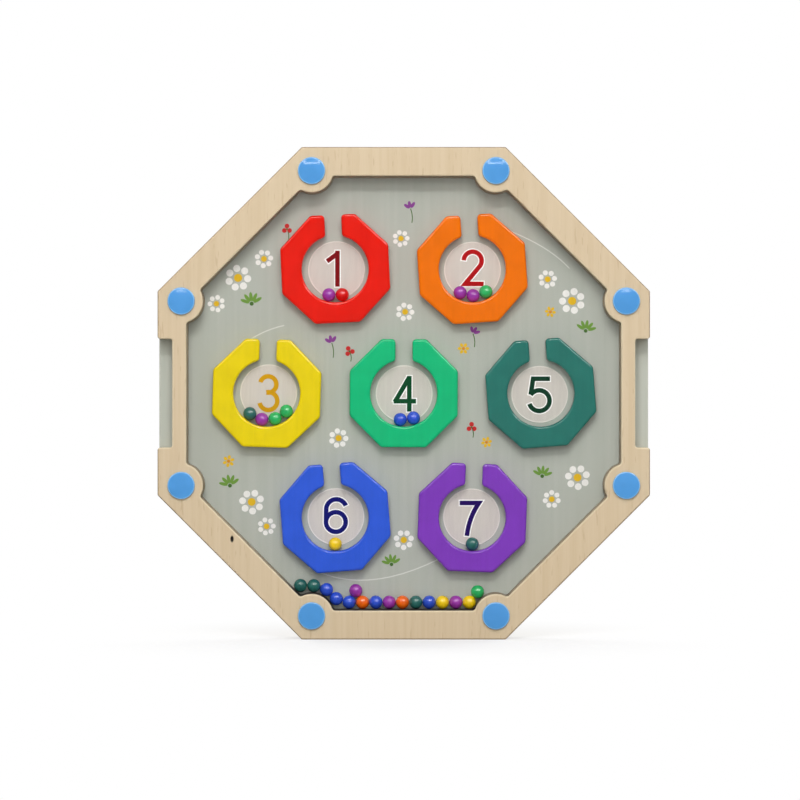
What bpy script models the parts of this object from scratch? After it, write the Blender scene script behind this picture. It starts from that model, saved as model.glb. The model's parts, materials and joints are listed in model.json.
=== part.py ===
"""Octagonal wooden game board: seven slotted rings, loose balls, and a clear cover held by eight capped screws.

The board stands on its lower edge with its face towards -Y. Everything is drawn in the board's own plane, with
x to the right, y up and z out of the face, and one empty turns that plane upright.
"""

import math

import bmesh
import bpy
from mathutils import Vector

# Driving dimensions, in metres

BALL_DIAMETER = 0.0095
BALL_PLAY = 0.0015           # how much deeper the ball chamber is than a ball
SLOT_PLAY = 0.0028           # how much wider a ring's slot is than a ball
TOUCH_GAP = 0.0003           # between pieces that rest on each other

RING_ACROSS = 0.0795         # across the flats of a ring's octagon
RING_BORE = 0.0490
RING_CORNER_ROUND = 0.0019   # at the eight outer corners
RING_LIP_ROUND = 0.0019      # at the four corners of the slot
RING_EDGE_ROUND = 0.0015     # along the front edges, less than at the corners
BESIDE_CHANNEL = 0.0211      # free width between two rings of one row
SLANT_CHANNEL = 0.0206       # free width between two rings of neighbouring rows
EDGE_CHANNEL = 0.01815       # free width between the outermost rings and the frame

BAR_WIDTH = 0.0215
BOARD_THICKNESS = 0.0050
COVER_THICKNESS = 0.0020
FRAME_THICKNESS = 0.0050
FRAME_CORNER_ROUND = 0.0020
FRAME_EDGE_ROUND = 0.0012    # along the front edges of the frame

NOTCH_LENGTH = 0.0795        # grip notch in the left and the right side
NOTCH_DEPTH = 0.0107
NOTCH_ROUND = 0.0020

CAP_DIAMETER = 0.0200
CAP_HEIGHT = 0.0030
CAP_EDGE_ROUND = 0.0022
CAP_ROOF = 0.0016            # thickness of the cap over its hollow
CAP_SPIGOT_WALL = 0.0012
CAP_FROM_CORNER = 0.0188     # from the octagon's corner to the cap's centre
LOBE_BORDER = 0.0063         # wood left round a cap
LOBE_FILLET = 0.0022

SCREW_HEAD_DIAMETER = 0.0080
SCREW_HEAD_HEIGHT = 0.0020
SCREW_HEAD_CHAMFER = 0.0010
SCREW_SHANK_DIAMETER = 0.0030
SCREW_BITE = 0.0032          # how far a screw reaches into the back board
SCREW_TIP = 0.0012           # length of the point
SCREW_HOLE_PLAY = 0.0010     # how much wider a clearance hole is than the shank
HEAD_FLOOR = 0.0020          # wood left under a screw's head

# Sizes that follow

BALL_RADIUS = BALL_DIAMETER / 2
BALL_REACH = BALL_RADIUS + TOUCH_GAP
BALL_PITCH = BALL_DIAMETER + TOUCH_GAP
SPACER_THICKNESS = BALL_DIAMETER + BALL_PLAY
SLOT_WIDTH = BALL_DIAMETER + SLOT_PLAY
ROLL_RADIUS = RING_BORE / 2 - BALL_REACH
COLUMN_PITCH = RING_ACROSS + BESIDE_CHANNEL
ROW_PITCH = math.sqrt(2) * (RING_ACROSS + SLANT_CHANNEL) - COLUMN_PITCH / 2
WINDOW_APOTHEM = COLUMN_PITCH + RING_ACROSS / 2 + EDGE_CHANNEL
BOARD_APOTHEM = WINDOW_APOTHEM + BAR_WIDTH
HALF_SIDE_ANGLE = math.radians(22.5)
CAP_CIRCLE = BOARD_APOTHEM / math.cos(HALF_SIDE_ANGLE) - CAP_FROM_CORNER
LOBE_RADIUS = CAP_DIAMETER / 2 + LOBE_BORDER
LOBE_REACH = LOBE_RADIUS + BALL_REACH
HEAD_BORE = SCREW_HEAD_DIAMETER + 2 * CAP_SPIGOT_WALL + 4 * TOUCH_GAP
SHANK_HOLE = SCREW_SHANK_DIAMETER + SCREW_HOLE_PLAY
PILOT_HOLE = SCREW_SHANK_DIAMETER + 2 * TOUCH_GAP

# Layers, from the back face to the front of the caps

STACK = (BOARD_THICKNESS + SPACER_THICKNESS + COVER_THICKNESS + FRAME_THICKNESS + CAP_HEIGHT + 4 * TOUCH_GAP)
BOARD_BACK = -STACK / 2
BOARD_FRONT = BOARD_BACK + BOARD_THICKNESS
SPACER_BACK = BOARD_FRONT + TOUCH_GAP
COVER_BACK = SPACER_BACK + SPACER_THICKNESS + TOUCH_GAP
FRAME_BACK = COVER_BACK + COVER_THICKNESS + TOUCH_GAP
FRAME_FRONT = FRAME_BACK + FRAME_THICKNESS
CHAMBER_MIDDLE = (BOARD_FRONT + COVER_BACK) / 2
HEAD_SEAT = FRAME_BACK + HEAD_FLOOR
SCREW_END = BOARD_FRONT - SCREW_BITE

# Facets

CORNER_STEPS = 2
LOBE_STEPS = 8
BORE_STEPS = 32
EDGE_STEPS = 2
CAP_SIDES = 16
SCREW_SIDES = 12
BALL_SIDES = 12
BALL_BANDS = 7
SMOOTH_UNDER = math.radians(40)

# What lies where: ring places in columns and rows, their turn as they were glued on, and the balls in them

RINGS = (
    ("red", -0.5, 1, 2.7),
    ("orange", 0.5, 1, 3.9),
    ("yellow", -1, 0, -1.8),
    ("green", 0, 0, -0.3),
    ("teal", 1, 0, 4.4),
    ("blue", -0.5, -1, 4.5),
    ("purple", 0.5, -1, -2.3),
)
RING_BALLS = {
    1: (("purple", "red"), 0.5),
    2: (("purple", "purple", "green"), 2.0),
    3: (("dark_green", "purple", "green", "green"), 3.8),
    4: (("blue", "blue"), 7.0),
    6: (("yellow",), 0.0),
    7: (("dark_green",), 0.0),
}
RAIL_BALLS = (
    "yellow", "purple", "yellow", "blue", "dark_green", "orange", "purple", "blue", "orange", "blue",
    "blue", "blue", "dark_green", "dark_green",
)
LOBE_BALL = "green"
UPPER_BALL = "purple"
UPPER_BALL_ON = 8            # it lies on this ball of the rail's row, counted from 0, and on the next

RING_PAINT = {
    "red": (0.745, 0.024, 0.014),
    "orange": (0.838, 0.168, 0.004),
    "yellow": (0.783, 0.591, 0.015),
    "green": (0.019, 0.434, 0.184),
    "teal": (0.030, 0.150, 0.125),
    "blue": (0.033, 0.095, 0.571),
    "purple": (0.212, 0.058, 0.418),
}
BALL_PAINT = {
    "red": (0.70, 0.02, 0.03),
    "orange": (0.86, 0.15, 0.01),
    "yellow": (0.86, 0.68, 0.02),
    "green": (0.03, 0.42, 0.13),
    "dark_green": (0.01, 0.10, 0.08),
    "blue": (0.03, 0.09, 0.45),
    "purple": (0.24, 0.04, 0.34),
}


def material(name, colour, roughness, metallic=0.0, alpha=1.0):
    """A Principled finish, made once for each name."""
    found = bpy.data.materials.get(name)
    if found:
        return found
    made = bpy.data.materials.new(name)
    made.use_nodes = True
    made.diffuse_color = (*colour, alpha)
    shader = made.node_tree.nodes["Principled BSDF"]
    shader.inputs["Base Color"].default_value = (*colour, 1.0)
    shader.inputs["Roughness"].default_value = roughness
    shader.inputs["Metallic"].default_value = metallic
    shader.inputs["Alpha"].default_value = alpha
    return made


def add_object(name, bm, finish, parent, location=(0, 0, 0), turn=0.0):
    """Turns a bmesh into a named object on its parent, with its faces outwards."""
    bmesh.ops.recalc_face_normals(bm, faces=bm.faces[:])
    mesh = bpy.data.meshes.new(name)
    bm.to_mesh(mesh)
    bm.free()
    mesh.shade_smooth()
    mesh.set_sharp_from_angle(angle=SMOOTH_UNDER)
    mesh.materials.append(finish)
    made = bpy.data.objects.new(name, mesh)
    bpy.context.scene.collection.objects.link(made)
    made.parent = parent
    made.location = location
    made.rotation_euler = (0, 0, turn)
    return made


def add_empty(name, location, rotation=(0, 0, 0), parent=None):
    """A bare axis that other pieces are placed on."""
    made = bpy.data.objects.new(name, None)
    bpy.context.scene.collection.objects.link(made)
    made.parent = parent
    made.location = location
    made.rotation_euler = rotation
    return made


# Outlines in the board's plane


def direction(angle):
    return Vector((math.cos(angle), math.sin(angle)))


def arc(centre, radius, start, stop, steps):
    """Points on an arc, both ends included."""
    return [centre + radius * direction(start + (stop - start) * i / steps) for i in range(steps + 1)]


def short_arc(centre, first, last, steps):
    """Points on the shorter arc about centre from one point to another."""
    start = math.atan2(*(first - centre).yx)
    stop = math.atan2(*(last - centre).yx)
    sweep = (stop - start + math.pi) % (2 * math.pi) - math.pi
    return arc(centre, (first - centre).length, start, start + sweep, steps)


def round_corners(corners):
    """A closed outline through (point, radius) corners, each replaced by an arc unless its radius is 0."""
    points = []
    for i, (corner, radius) in enumerate(corners):
        if radius == 0:
            points.append(corner)
            continue
        back = (corners[i - 1][0] - corner).normalized()
        ahead = (corners[(i + 1) % len(corners)][0] - corner).normalized()
        half = back.angle(ahead) / 2
        centre = corner + (back + ahead).normalized() * radius / math.sin(half)
        run = radius / math.tan(half)
        points += short_arc(centre, corner + back * run, corner + ahead * run, CORNER_STEPS)
    return points


def octagon(apothem):
    """Corners of an octagon that stands on a flat, counter-clockwise from the right side's lower corner."""
    reach = apothem / math.cos(HALF_SIDE_ANGLE)
    return [reach * direction(HALF_SIDE_ANGLE * (2 * i - 1)) for i in range(8)]


def board_outline():
    return round_corners([(corner, FRAME_CORNER_ROUND) for corner in octagon(BOARD_APOTHEM)])


def notched_outline():
    """The board's outline with a grip notch in its right and its left side."""
    corners = []
    for i, corner in enumerate(octagon(BOARD_APOTHEM)):
        corners.append((corner, FRAME_CORNER_ROUND))
        if i % 4 == 0:
            side = 1 if i == 0 else -1
            mouth = side * BOARD_APOTHEM
            floor = side * (BOARD_APOTHEM - NOTCH_DEPTH)
            half = side * NOTCH_LENGTH / 2
            for x, y in ((mouth, -half), (floor, -half), (floor, half), (mouth, half)):
                corners.append((Vector((x, y)), NOTCH_ROUND))
    return round_corners(corners)


def cap_centres():
    return [CAP_CIRCLE * direction(HALF_SIDE_ANGLE * (2 * i - 1)) for i in range(8)]


def fillet_centre(lobe, side_angle, along):
    """Centre of the fillet between a lobe and the window's side that faces side_angle."""
    out = direction(side_angle)
    sideways = Vector((-out.y, out.x))
    depth = WINDOW_APOTHEM - LOBE_FILLET
    across = lobe.dot(out) - depth
    run = math.sqrt((LOBE_RADIUS + LOBE_FILLET) ** 2 - across ** 2)
    return out * depth + sideways * (lobe.dot(sideways) + along * run)


def window_outline():
    """The frame's inner edge: an octagon with a round lobe in each corner."""
    points = []
    for i, lobe in enumerate(cap_centres()):
        before = HALF_SIDE_ANGLE * (2 * i - 2)
        after = HALF_SIDE_ANGLE * (2 * i)
        first = fillet_centre(lobe, before, -1)
        last = fillet_centre(lobe, after, 1)
        share = LOBE_RADIUS / (LOBE_RADIUS + LOBE_FILLET)
        lobe_start = lobe + (first - lobe) * share
        lobe_stop = lobe + (last - lobe) * share
        points += short_arc(first, first + LOBE_FILLET * direction(before), lobe_start, CORNER_STEPS)
        points += short_arc(lobe, lobe_start, lobe_stop, LOBE_STEPS)[1:-1]
        points += short_arc(last, lobe_stop, last + LOBE_FILLET * direction(after), CORNER_STEPS)
    return points


def ring_outline():
    """A slotted ring: octagon outside, round bore, and a slot of even width through the top side."""
    top = RING_ACROSS / 2
    bore = RING_BORE / 2
    half_slot = SLOT_WIDTH / 2
    lip = Vector((half_slot + RING_LIP_ROUND, 0))
    lip.y = math.sqrt((bore + RING_LIP_ROUND) ** 2 - lip.x ** 2)
    lip_end = lip * bore / (bore + RING_LIP_ROUND)
    foot = Vector((half_slot, lip.y))
    corners = octagon(top)
    outer = [(Vector((-foot.x, foot.y)), 0), (Vector((-half_slot, top)), RING_LIP_ROUND)]
    outer += [(corner, RING_CORNER_ROUND) for corner in corners[3:] + corners[:3]]
    outer += [(Vector((half_slot, top)), RING_LIP_ROUND), (foot, 0)]
    start = math.atan2(lip_end.y, lip_end.x)
    right_lip = short_arc(lip, foot, lip_end, CORNER_STEPS)[1:]
    wall = arc(Vector((0, 0)), bore, start, -math.pi - start, BORE_STEPS)[1:-1]
    left_lip = [Vector((-point.x, point.y)) for point in reversed(right_lip)]
    return round_corners(outer) + right_lip + wall + left_lip


# Solids


def extruded(loops, height):
    """A prism on one outline, or between an outer and an inner one. Returns it with its front faces."""
    bm = bmesh.new()
    edges = []
    for loop in loops:
        ring = [bm.verts.new((point.x, point.y, 0)) for point in loop]
        edges += [bm.edges.new((ring[i - 1], ring[i])) for i in range(len(ring))]
    bmesh.ops.triangle_fill(bm, edges=edges, use_beauty=True, normal=(0, 0, 1))
    raised = bmesh.ops.extrude_face_region(bm, geom=bm.faces[:])["geom"]
    front = [item for item in raised if isinstance(item, bmesh.types.BMFace)]
    corners = [item for item in raised if isinstance(item, bmesh.types.BMVert)]
    bmesh.ops.translate(bm, verts=corners, vec=(0, 0, height))
    bmesh.ops.recalc_face_normals(bm, faces=bm.faces[:])
    return bm, front


def round_front(bm, front, radius):
    """Rounds the edges of the front faces with insets that follow a quarter circle and rise by radius."""
    turn = math.pi / 2 / EDGE_STEPS
    for i in range(EDGE_STEPS):
        inset = radius * (math.cos(i * turn) - math.cos((i + 1) * turn))
        rise = radius * (math.sin((i + 1) * turn) - math.sin(i * turn))
        bmesh.ops.inset_region(
            bm, faces=front, thickness=inset, depth=rise, use_boundary=True, use_even_offset=True,
        )


def turned(profile, sides):
    """A turned solid about z from (radius, z) points that start and end on the axis."""
    bm = bmesh.new()
    points = [bm.verts.new((radius, 0, z)) for radius, z in profile]
    edges = [bm.edges.new(pair) for pair in zip(points, points[1:])]
    bmesh.ops.spin(
        bm, geom=points + edges, cent=(0, 0, 0), axis=(0, 0, 1), angle=2 * math.pi, steps=sides,
        use_merge=True, use_duplicate=False,
    )
    bmesh.ops.remove_doubles(bm, verts=bm.verts[:], dist=TOUCH_GAP / 100)
    return bm


def add_drill(board):
    """The stepped bores that every screw passes through, as one cutter."""
    past_front = FRAME_FRONT + FRAME_THICKNESS
    profile = (
        (0, past_front),
        (HEAD_BORE / 2, past_front),
        (HEAD_BORE / 2, HEAD_SEAT),
        (SHANK_HOLE / 2, HEAD_SEAT),
        (SHANK_HOLE / 2, BOARD_FRONT + TOUCH_GAP / 2),
        (PILOT_HOLE / 2, BOARD_FRONT + TOUCH_GAP / 2),
        (PILOT_HOLE / 2, SCREW_END - TOUCH_GAP),
        (0, SCREW_END - TOUCH_GAP),
    )
    drill = bmesh.new()
    for centre in cap_centres():
        bore = turned(profile, SCREW_SIDES)
        bmesh.ops.translate(bore, verts=bore.verts[:], vec=centre.to_3d())
        single = bpy.data.meshes.new("bore")
        bmesh.ops.recalc_face_normals(bore, faces=bore.faces[:])
        bore.to_mesh(single)
        bore.free()
        drill.from_mesh(single)
        bpy.data.meshes.remove(single)
    cutter = add_object("drill", drill, material("cutter", (0.8, 0.8, 0.8), 0.5), board)
    cutter.hide_render = True
    cutter.display_type = "WIRE"
    return cutter


def drilled(plate, drill):
    cut = plate.modifiers.new("screw holes", "BOOLEAN")
    cut.operation = "DIFFERENCE"
    cut.solver = "EXACT"
    cut.object = drill
    return plate


def add_plates(board, drill):
    """The four sheets: printed board, spacer, clear cover and front frame."""
    birch = material("birch plywood", (0.70, 0.55, 0.36), 0.55)
    printed = material("printed board", (0.44, 0.46, 0.40), 0.60)
    acrylic = material("clear acrylic", (0.95, 0.97, 0.97), 0.05, alpha=0.12)
    sheet, _ = extruded([board_outline()], BOARD_THICKNESS)
    drilled(add_object("back_board", sheet, printed, board, (0, 0, BOARD_BACK)), drill)
    sheet, _ = extruded([notched_outline(), window_outline()], SPACER_THICKNESS)
    drilled(add_object("spacer_frame", sheet, birch, board, (0, 0, SPACER_BACK)), drill)
    sheet, _ = extruded([notched_outline()], COVER_THICKNESS)
    drilled(add_object("clear_cover", sheet, acrylic, board, (0, 0, COVER_BACK)), drill)
    sheet, front = extruded([notched_outline(), window_outline()], FRAME_THICKNESS - FRAME_EDGE_ROUND)
    round_front(sheet, front, FRAME_EDGE_ROUND)
    drilled(add_object("front_frame", sheet, birch, board, (0, 0, FRAME_BACK)), drill)


def add_fasteners(board):
    """A screw and a button cap in each corner."""
    steel = material("zinc-plated steel", (0.62, 0.62, 0.60), 0.35, metallic=1.0)
    plastic = material("blue plastic", (0.09, 0.33, 0.83), 0.30)
    head = SCREW_HEAD_DIAMETER / 2
    shank = SCREW_SHANK_DIAMETER / 2
    under = HEAD_SEAT + TOUCH_GAP
    screw_profile = (
        (0, under + SCREW_HEAD_HEIGHT),
        (head - SCREW_HEAD_CHAMFER, under + SCREW_HEAD_HEIGHT),
        (head, under + SCREW_HEAD_HEIGHT - SCREW_HEAD_CHAMFER),
        (head, under),
        (shank, under),
        (shank, SCREW_END + SCREW_TIP),
        (0, SCREW_END),
    )
    rim = CAP_DIAMETER / 2
    base = FRAME_FRONT + TOUCH_GAP
    top = base + CAP_HEIGHT
    edge = arc(Vector((rim - CAP_EDGE_ROUND, top - CAP_EDGE_ROUND)), CAP_EDGE_ROUND, math.pi / 2, 0, EDGE_STEPS)
    spigot = HEAD_BORE / 2 - TOUCH_GAP
    hollow = spigot - CAP_SPIGOT_WALL
    cap_profile = [(0, top)] + [tuple(point) for point in edge] + [
        (rim, base),
        (spigot, base),
        (spigot, under),
        (hollow, under),
        (hollow, top - CAP_ROOF),
        (0, top - CAP_ROOF),
    ]
    for i, centre in enumerate(cap_centres(), start=1):
        add_object(f"screw_{i}", turned(screw_profile, SCREW_SIDES), steel, board, centre.to_3d())
        add_object(f"cap_{i}", turned(cap_profile, CAP_SIDES), plastic, board, centre.to_3d())


def add_ball(name, colour, parent, place):
    bm = bmesh.new()
    bmesh.ops.create_uvsphere(bm, u_segments=BALL_SIDES, v_segments=BALL_BANDS, radius=BALL_RADIUS)
    finish = material(f"ball {colour}", BALL_PAINT[colour], 0.18)
    return add_object(name, bm, finish, parent, place)


def add_rings(board):
    """The seven rings on their own centres, each with the balls that lie in it."""
    lift = SPACER_BACK - CHAMBER_MIDDLE
    pitch_angle = 2 * math.asin(BALL_PITCH / 2 / ROLL_RADIUS)
    for number, (colour, column, row, turn) in enumerate(RINGS, start=1):
        centre = add_empty(
            f"ring_{number}_centre", (column * COLUMN_PITCH, row * ROW_PITCH, CHAMBER_MIDDLE), parent=board,
        )
        ring, front = extruded([ring_outline()], SPACER_THICKNESS - RING_EDGE_ROUND)
        round_front(ring, front, RING_EDGE_ROUND)
        paint = material(f"paint {colour}", RING_PAINT[colour], 0.38)
        add_object(f"ring_{number}_{colour}", ring, paint, centre, (0, 0, lift), math.radians(turn))
        colours, lean = RING_BALLS.get(number, ((), 0.0))
        for i, ball in enumerate(colours):
            swing = math.radians(lean) + (i - (len(colours) - 1) / 2) * pitch_angle
            place = ROLL_RADIUS * Vector((math.sin(swing), -math.cos(swing), 0))
            add_ball(f"ring_{number}_ball_{i + 1}_{ball}", ball, centre, place)


def meeting(first, first_reach, second, second_reach):
    """Where a ball lies that touches two things, to the left of the way from the first to the second."""
    way = second - first
    along = (first_reach ** 2 - second_reach ** 2 + way.length_squared) / (2 * way.length)
    aside = math.sqrt(first_reach ** 2 - along ** 2)
    ahead = way.normalized()
    return first + along * ahead + aside * Vector((-ahead.y, ahead.x))


def rail_row(left_lobe, right_lobe, count):
    """Balls in a row from the right lobe along the rail, over the left lobe and against the slanted bar."""
    level = BALL_REACH - WINDOW_APOTHEM
    to_bar = Vector((-1, -1)).normalized()
    up_bar = Vector((-1, 1)).normalized()
    bar_limit = WINDOW_APOTHEM - BALL_REACH
    start = right_lobe.x - math.sqrt(LOBE_REACH ** 2 - (level - right_lobe.y) ** 2)
    row = [Vector((start, level))]
    on_bar = False
    while len(row) < count:
        last = row[-1]
        spot = last + BALL_PITCH * (up_bar if on_bar else Vector((-1, 0)))
        if not on_bar and (last.y > row[0].y or (spot - left_lobe).length < LOBE_REACH):
            spot = meeting(left_lobe, LOBE_REACH, last, BALL_PITCH)
        if not on_bar and spot.dot(to_bar) > bar_limit:
            on_bar = True
            short = bar_limit - last.dot(to_bar)
            spot = last + short * to_bar + math.sqrt(BALL_PITCH ** 2 - short ** 2) * up_bar
        row.append(spot)
    return row


def add_heap(board):
    """The balls that lie on the bottom rail."""
    lobes = sorted(cap_centres(), key=lambda centre: centre.y)[:2]
    left_lobe, right_lobe = sorted(lobes, key=lambda centre: centre.x)
    row = rail_row(left_lobe, right_lobe, len(RAIL_BALLS))
    depth = Vector((0, 0, CHAMBER_MIDDLE))
    for i, (colour, spot) in enumerate(zip(RAIL_BALLS, row), start=1):
        add_ball(f"rail_ball_{i}_{colour}", colour, board, spot.to_3d() + depth)
    upper = meeting(row[UPPER_BALL_ON + 1], BALL_PITCH, row[UPPER_BALL_ON], BALL_PITCH)
    add_ball(f"upper_ball_{UPPER_BALL}", UPPER_BALL, board, upper.to_3d() + depth)
    beside = meeting(row[0], BALL_PITCH, right_lobe, LOBE_REACH)
    add_ball(f"lobe_ball_{LOBE_BALL}", LOBE_BALL, board, beside.to_3d() + depth)


def main():
    for old in list(bpy.data.objects):
        bpy.data.objects.remove(old)
    board = add_empty("board", (0, 0, BOARD_APOTHEM), (math.pi / 2, 0, 0))
    drill = add_drill(board)
    add_plates(board, drill)
    add_fasteners(board)
    add_rings(board)
    add_heap(board)


main()
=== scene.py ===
# %% [markdown]
# # A tilting ball game in birch plywood
# The object is a flat sandwich: a printed board at the back, a plywood spacer as deep as a ball, a clear
# sheet and a plywood frame at the front, held by eight screws under blue caps. Seven painted rings are glued
# to the board, and small balls roll between them. The solids are loaded first as a fixed frame. The pieces
# made below stand for them, at the same place and size, with finer edges and a real finish, and the print
# on the board is added.

# %% Load the frame
import json
import math

import bmesh
import bpy
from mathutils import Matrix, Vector


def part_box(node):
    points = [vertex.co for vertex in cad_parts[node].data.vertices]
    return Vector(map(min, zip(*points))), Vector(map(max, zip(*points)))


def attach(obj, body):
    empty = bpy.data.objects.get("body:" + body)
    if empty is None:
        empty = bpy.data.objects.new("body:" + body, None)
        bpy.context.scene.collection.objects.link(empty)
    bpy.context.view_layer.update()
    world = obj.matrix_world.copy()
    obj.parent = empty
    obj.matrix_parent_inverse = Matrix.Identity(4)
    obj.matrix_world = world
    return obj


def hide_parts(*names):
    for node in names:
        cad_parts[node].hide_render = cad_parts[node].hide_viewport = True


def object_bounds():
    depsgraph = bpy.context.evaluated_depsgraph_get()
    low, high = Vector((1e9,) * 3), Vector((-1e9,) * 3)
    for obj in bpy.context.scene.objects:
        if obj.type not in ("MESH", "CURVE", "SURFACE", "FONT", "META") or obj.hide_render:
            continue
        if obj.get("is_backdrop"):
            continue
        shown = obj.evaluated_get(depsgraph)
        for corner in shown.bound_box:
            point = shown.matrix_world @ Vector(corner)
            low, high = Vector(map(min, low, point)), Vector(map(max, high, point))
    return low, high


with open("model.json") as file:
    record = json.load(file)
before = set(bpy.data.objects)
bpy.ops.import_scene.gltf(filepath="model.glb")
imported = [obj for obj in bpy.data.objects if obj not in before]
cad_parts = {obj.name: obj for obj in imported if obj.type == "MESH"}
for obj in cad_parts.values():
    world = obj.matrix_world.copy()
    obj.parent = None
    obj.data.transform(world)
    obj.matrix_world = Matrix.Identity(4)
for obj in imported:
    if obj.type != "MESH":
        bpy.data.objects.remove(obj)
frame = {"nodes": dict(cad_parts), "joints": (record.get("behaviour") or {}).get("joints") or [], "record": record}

CAD_BOX = [list(corner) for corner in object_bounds()]
NODES = sorted(frame["nodes"])
BODY_OF = {node: body for body, nodes in frame["record"]["behaviour"]["bodies"].items() for node in nodes}
SLOT_OF = {part["node"]: part["material_slot"] for part in frame["record"]["subparts"]}
MM = 0.001

# %% [markdown]
# ## Working in the board's own plane
# The board stands upright with its face towards -Y. It is easier to draw it lying flat, with x to the right,
# y up and a height towards the viewer, and to stand every point up as it goes into a mesh. The height of
# each layer is read from the solids, so that nothing has to be fitted afterwards.

# %% Stand points up and read the layers
MIDDLE = (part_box("back_board")[0].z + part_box("back_board")[1].z) / 2


def upright(x, y, height):
    """A point of the board's plane, in metres, in the standing object."""
    return Vector((x, -height, MIDDLE + y))


def layer(node):
    """The heights of a node's back and front."""
    low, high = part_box(node)
    return -high.y, -low.y


def centre_of(node):
    """The middle of a node in the board's plane."""
    low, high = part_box(node)
    return Vector(((low.x + high.x) / 2, (low.z + high.z) / 2 - MIDDLE))


for sheet in ("back_board", "spacer_frame", "clear_cover", "front_frame"):
    print(sheet, [round(height / MM, 2) for height in layer(sheet)], "mm")

# %% [markdown]
# ## Shader maths as plain arithmetic
# A node tree for wood or paint is mostly sums. Placing each Math node by hand hides the idea, so one small
# class wraps a socket: adding or multiplying two of them adds the node. The same class makes any other node,
# in shader trees and in geometry trees, from its type, its settings and the values of its sockets.

# %% A socket that can be calculated with
class Wire:
    """One output socket of a node tree."""

    def __init__(self, tree, socket=None):
        self.tree = tree
        self.socket = socket

    def node(self, kind, settings=None, sockets=None, output=0):
        """Adds a node: its settings first, then the values or links of its inputs."""
        made = self.tree.nodes.new(kind)
        for name, value in (settings or {}).items():
            setattr(made, name, value)
        for name, value in (sockets or {}).items():
            if isinstance(value, Wire):
                self.tree.links.new(value.socket, made.inputs[name])
            else:
                made.inputs[name].default_value = value
        return Wire(self.tree, made.outputs[output]) if made.outputs else made

    def other(self, output):
        """Another output of the same node."""
        return Wire(self.tree, self.socket.node.outputs[output])

    def axes(self):
        """The x, y and z of a vector."""
        split = self.node("ShaderNodeSeparateXYZ", sockets={0: self})
        return split, split.other("Y"), split.other("Z")

    def vector(self, **parts):
        """A vector from values or wires for X, Y and Z."""
        return self.node("ShaderNodeCombineXYZ", sockets=parts)

    def maths(self, operation, *values):
        return self.node("ShaderNodeMath", {"operation": operation}, dict(enumerate(values)))

    def __add__(self, other):
        return self.maths("ADD", self, other)

    def __sub__(self, other):
        return self.maths("SUBTRACT", self, other)

    def __rsub__(self, other):
        return self.maths("SUBTRACT", other, self)

    def __mul__(self, other):
        return self.maths("MULTIPLY", self, other)

    def __truediv__(self, other):
        return self.maths("DIVIDE", self, other)

    def __rtruediv__(self, other):
        return self.maths("DIVIDE", other, self)

    def __pow__(self, other):
        return self.maths("POWER", self, other)

    def __rpow__(self, other):
        return self.maths("POWER", other, self)

    def __abs__(self):
        return self.maths("ABSOLUTE", self)

    __radd__ = __add__
    __rmul__ = __mul__

    def rise(self, start, stop):
        """0 below start, 1 above stop, and a smooth rise between."""
        return self.node(
            "ShaderNodeMapRange", {"interpolation_type": "SMOOTHSTEP"},
            {"Value": self, "From Min": start, "From Max": stop},
        )

    def between(self, low, high):
        """Turns 0 to 1 into low to high."""
        return self * (high - low) + low

    def blend(self, low, high):
        """Colours mixed by this value."""
        return self.node("ShaderNodeMix", {"data_type": "RGBA"}, {0: self, 6: low, 7: high}, 2)


print("shader maths ready")

# %% Colours and materials
def colour(red, green, blue):
    """A colour as a screen states it, 0 to 255, as the light values that shaders take: the sRGB curve."""
    steps = [value / 255 for value in (red, green, blue)]
    return tuple(s / 12.92 if s < 0.04045 else ((s + 0.055) / 1.055) ** 2.4 for s in steps) + (1.0,)


def shaded(tint, factor):
    return tuple(channel * factor for channel in tint[:3]) + (1.0,)


def finish(name, fixed=None):
    """A new material: its Principled shader with fixed values, and a wire that reads places on the piece."""
    made = bpy.data.materials.new(name)
    made.use_nodes = True
    shader = made.node_tree.nodes["Principled BSDF"]
    for label, value in (fixed or {}).items():
        shader.inputs[label].default_value = value
    place = Wire(made.node_tree).node("ShaderNodeTexCoord", output="Object")
    return made, shader, place


def connect(wire, shader, name):
    wire.tree.links.new(wire.socket, shader.inputs[name])


print("a screen's grey of 128 gives back", round(colour(128, 128, 128)[0], 3), "of the light")

# %% Patterns and relief
NOISE_SPAN = (0.3, 0.7)     # most of a noise lies between these values


def noise(place, waves, detail=2.0, roughness=0.5):
    """Noise with so many waves a metre, one number for every way or one each for x, y and z."""
    stretch = waves if isinstance(waves, tuple) else (waves,) * 3
    mapped = place.node("ShaderNodeMapping", sockets={"Vector": place, "Scale": stretch})
    values = {"Vector": mapped, "Scale": 1.0, "Detail": detail, "Roughness": roughness}
    return place.node("ShaderNodeTexNoise", sockets=values)


def clouds(place, waves, detail=2.0):
    """Noise that makes use of the whole range from 0 to 1."""
    return noise(place, waves, detail).rise(*NOISE_SPAN)


def uneven(pattern, tint, low, high):
    """A tint that a pattern makes darker and lighter, between two shares of its light."""
    return pattern.blend(shaded(tint, low), shaded(tint, high))


def bump(height, shader, strength, depth):
    """Relief of a given depth in metres from a value between 0 and 1."""
    values = {"Strength": strength, "Distance": depth, "Height": height}
    connect(height.node("ShaderNodeBump", sockets=values), shader, "Normal")


print("noise is drawn out from", NOISE_SPAN)

# %% [markdown]
# ## Birch plywood
# The frame is cut from one sheet, so its grain runs upright on all eight sides. Birch is pale, with faint
# streaks, short brown flecks and now and then a pin knot. A picture of wood would be quicker, but it would
# repeat and has no cut edges. Noise stretched along the grain gives streaks and flecks, and counting plies
# through the thickness gives the banded edge, which appears by itself wherever a cut goes through the layers.

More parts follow.
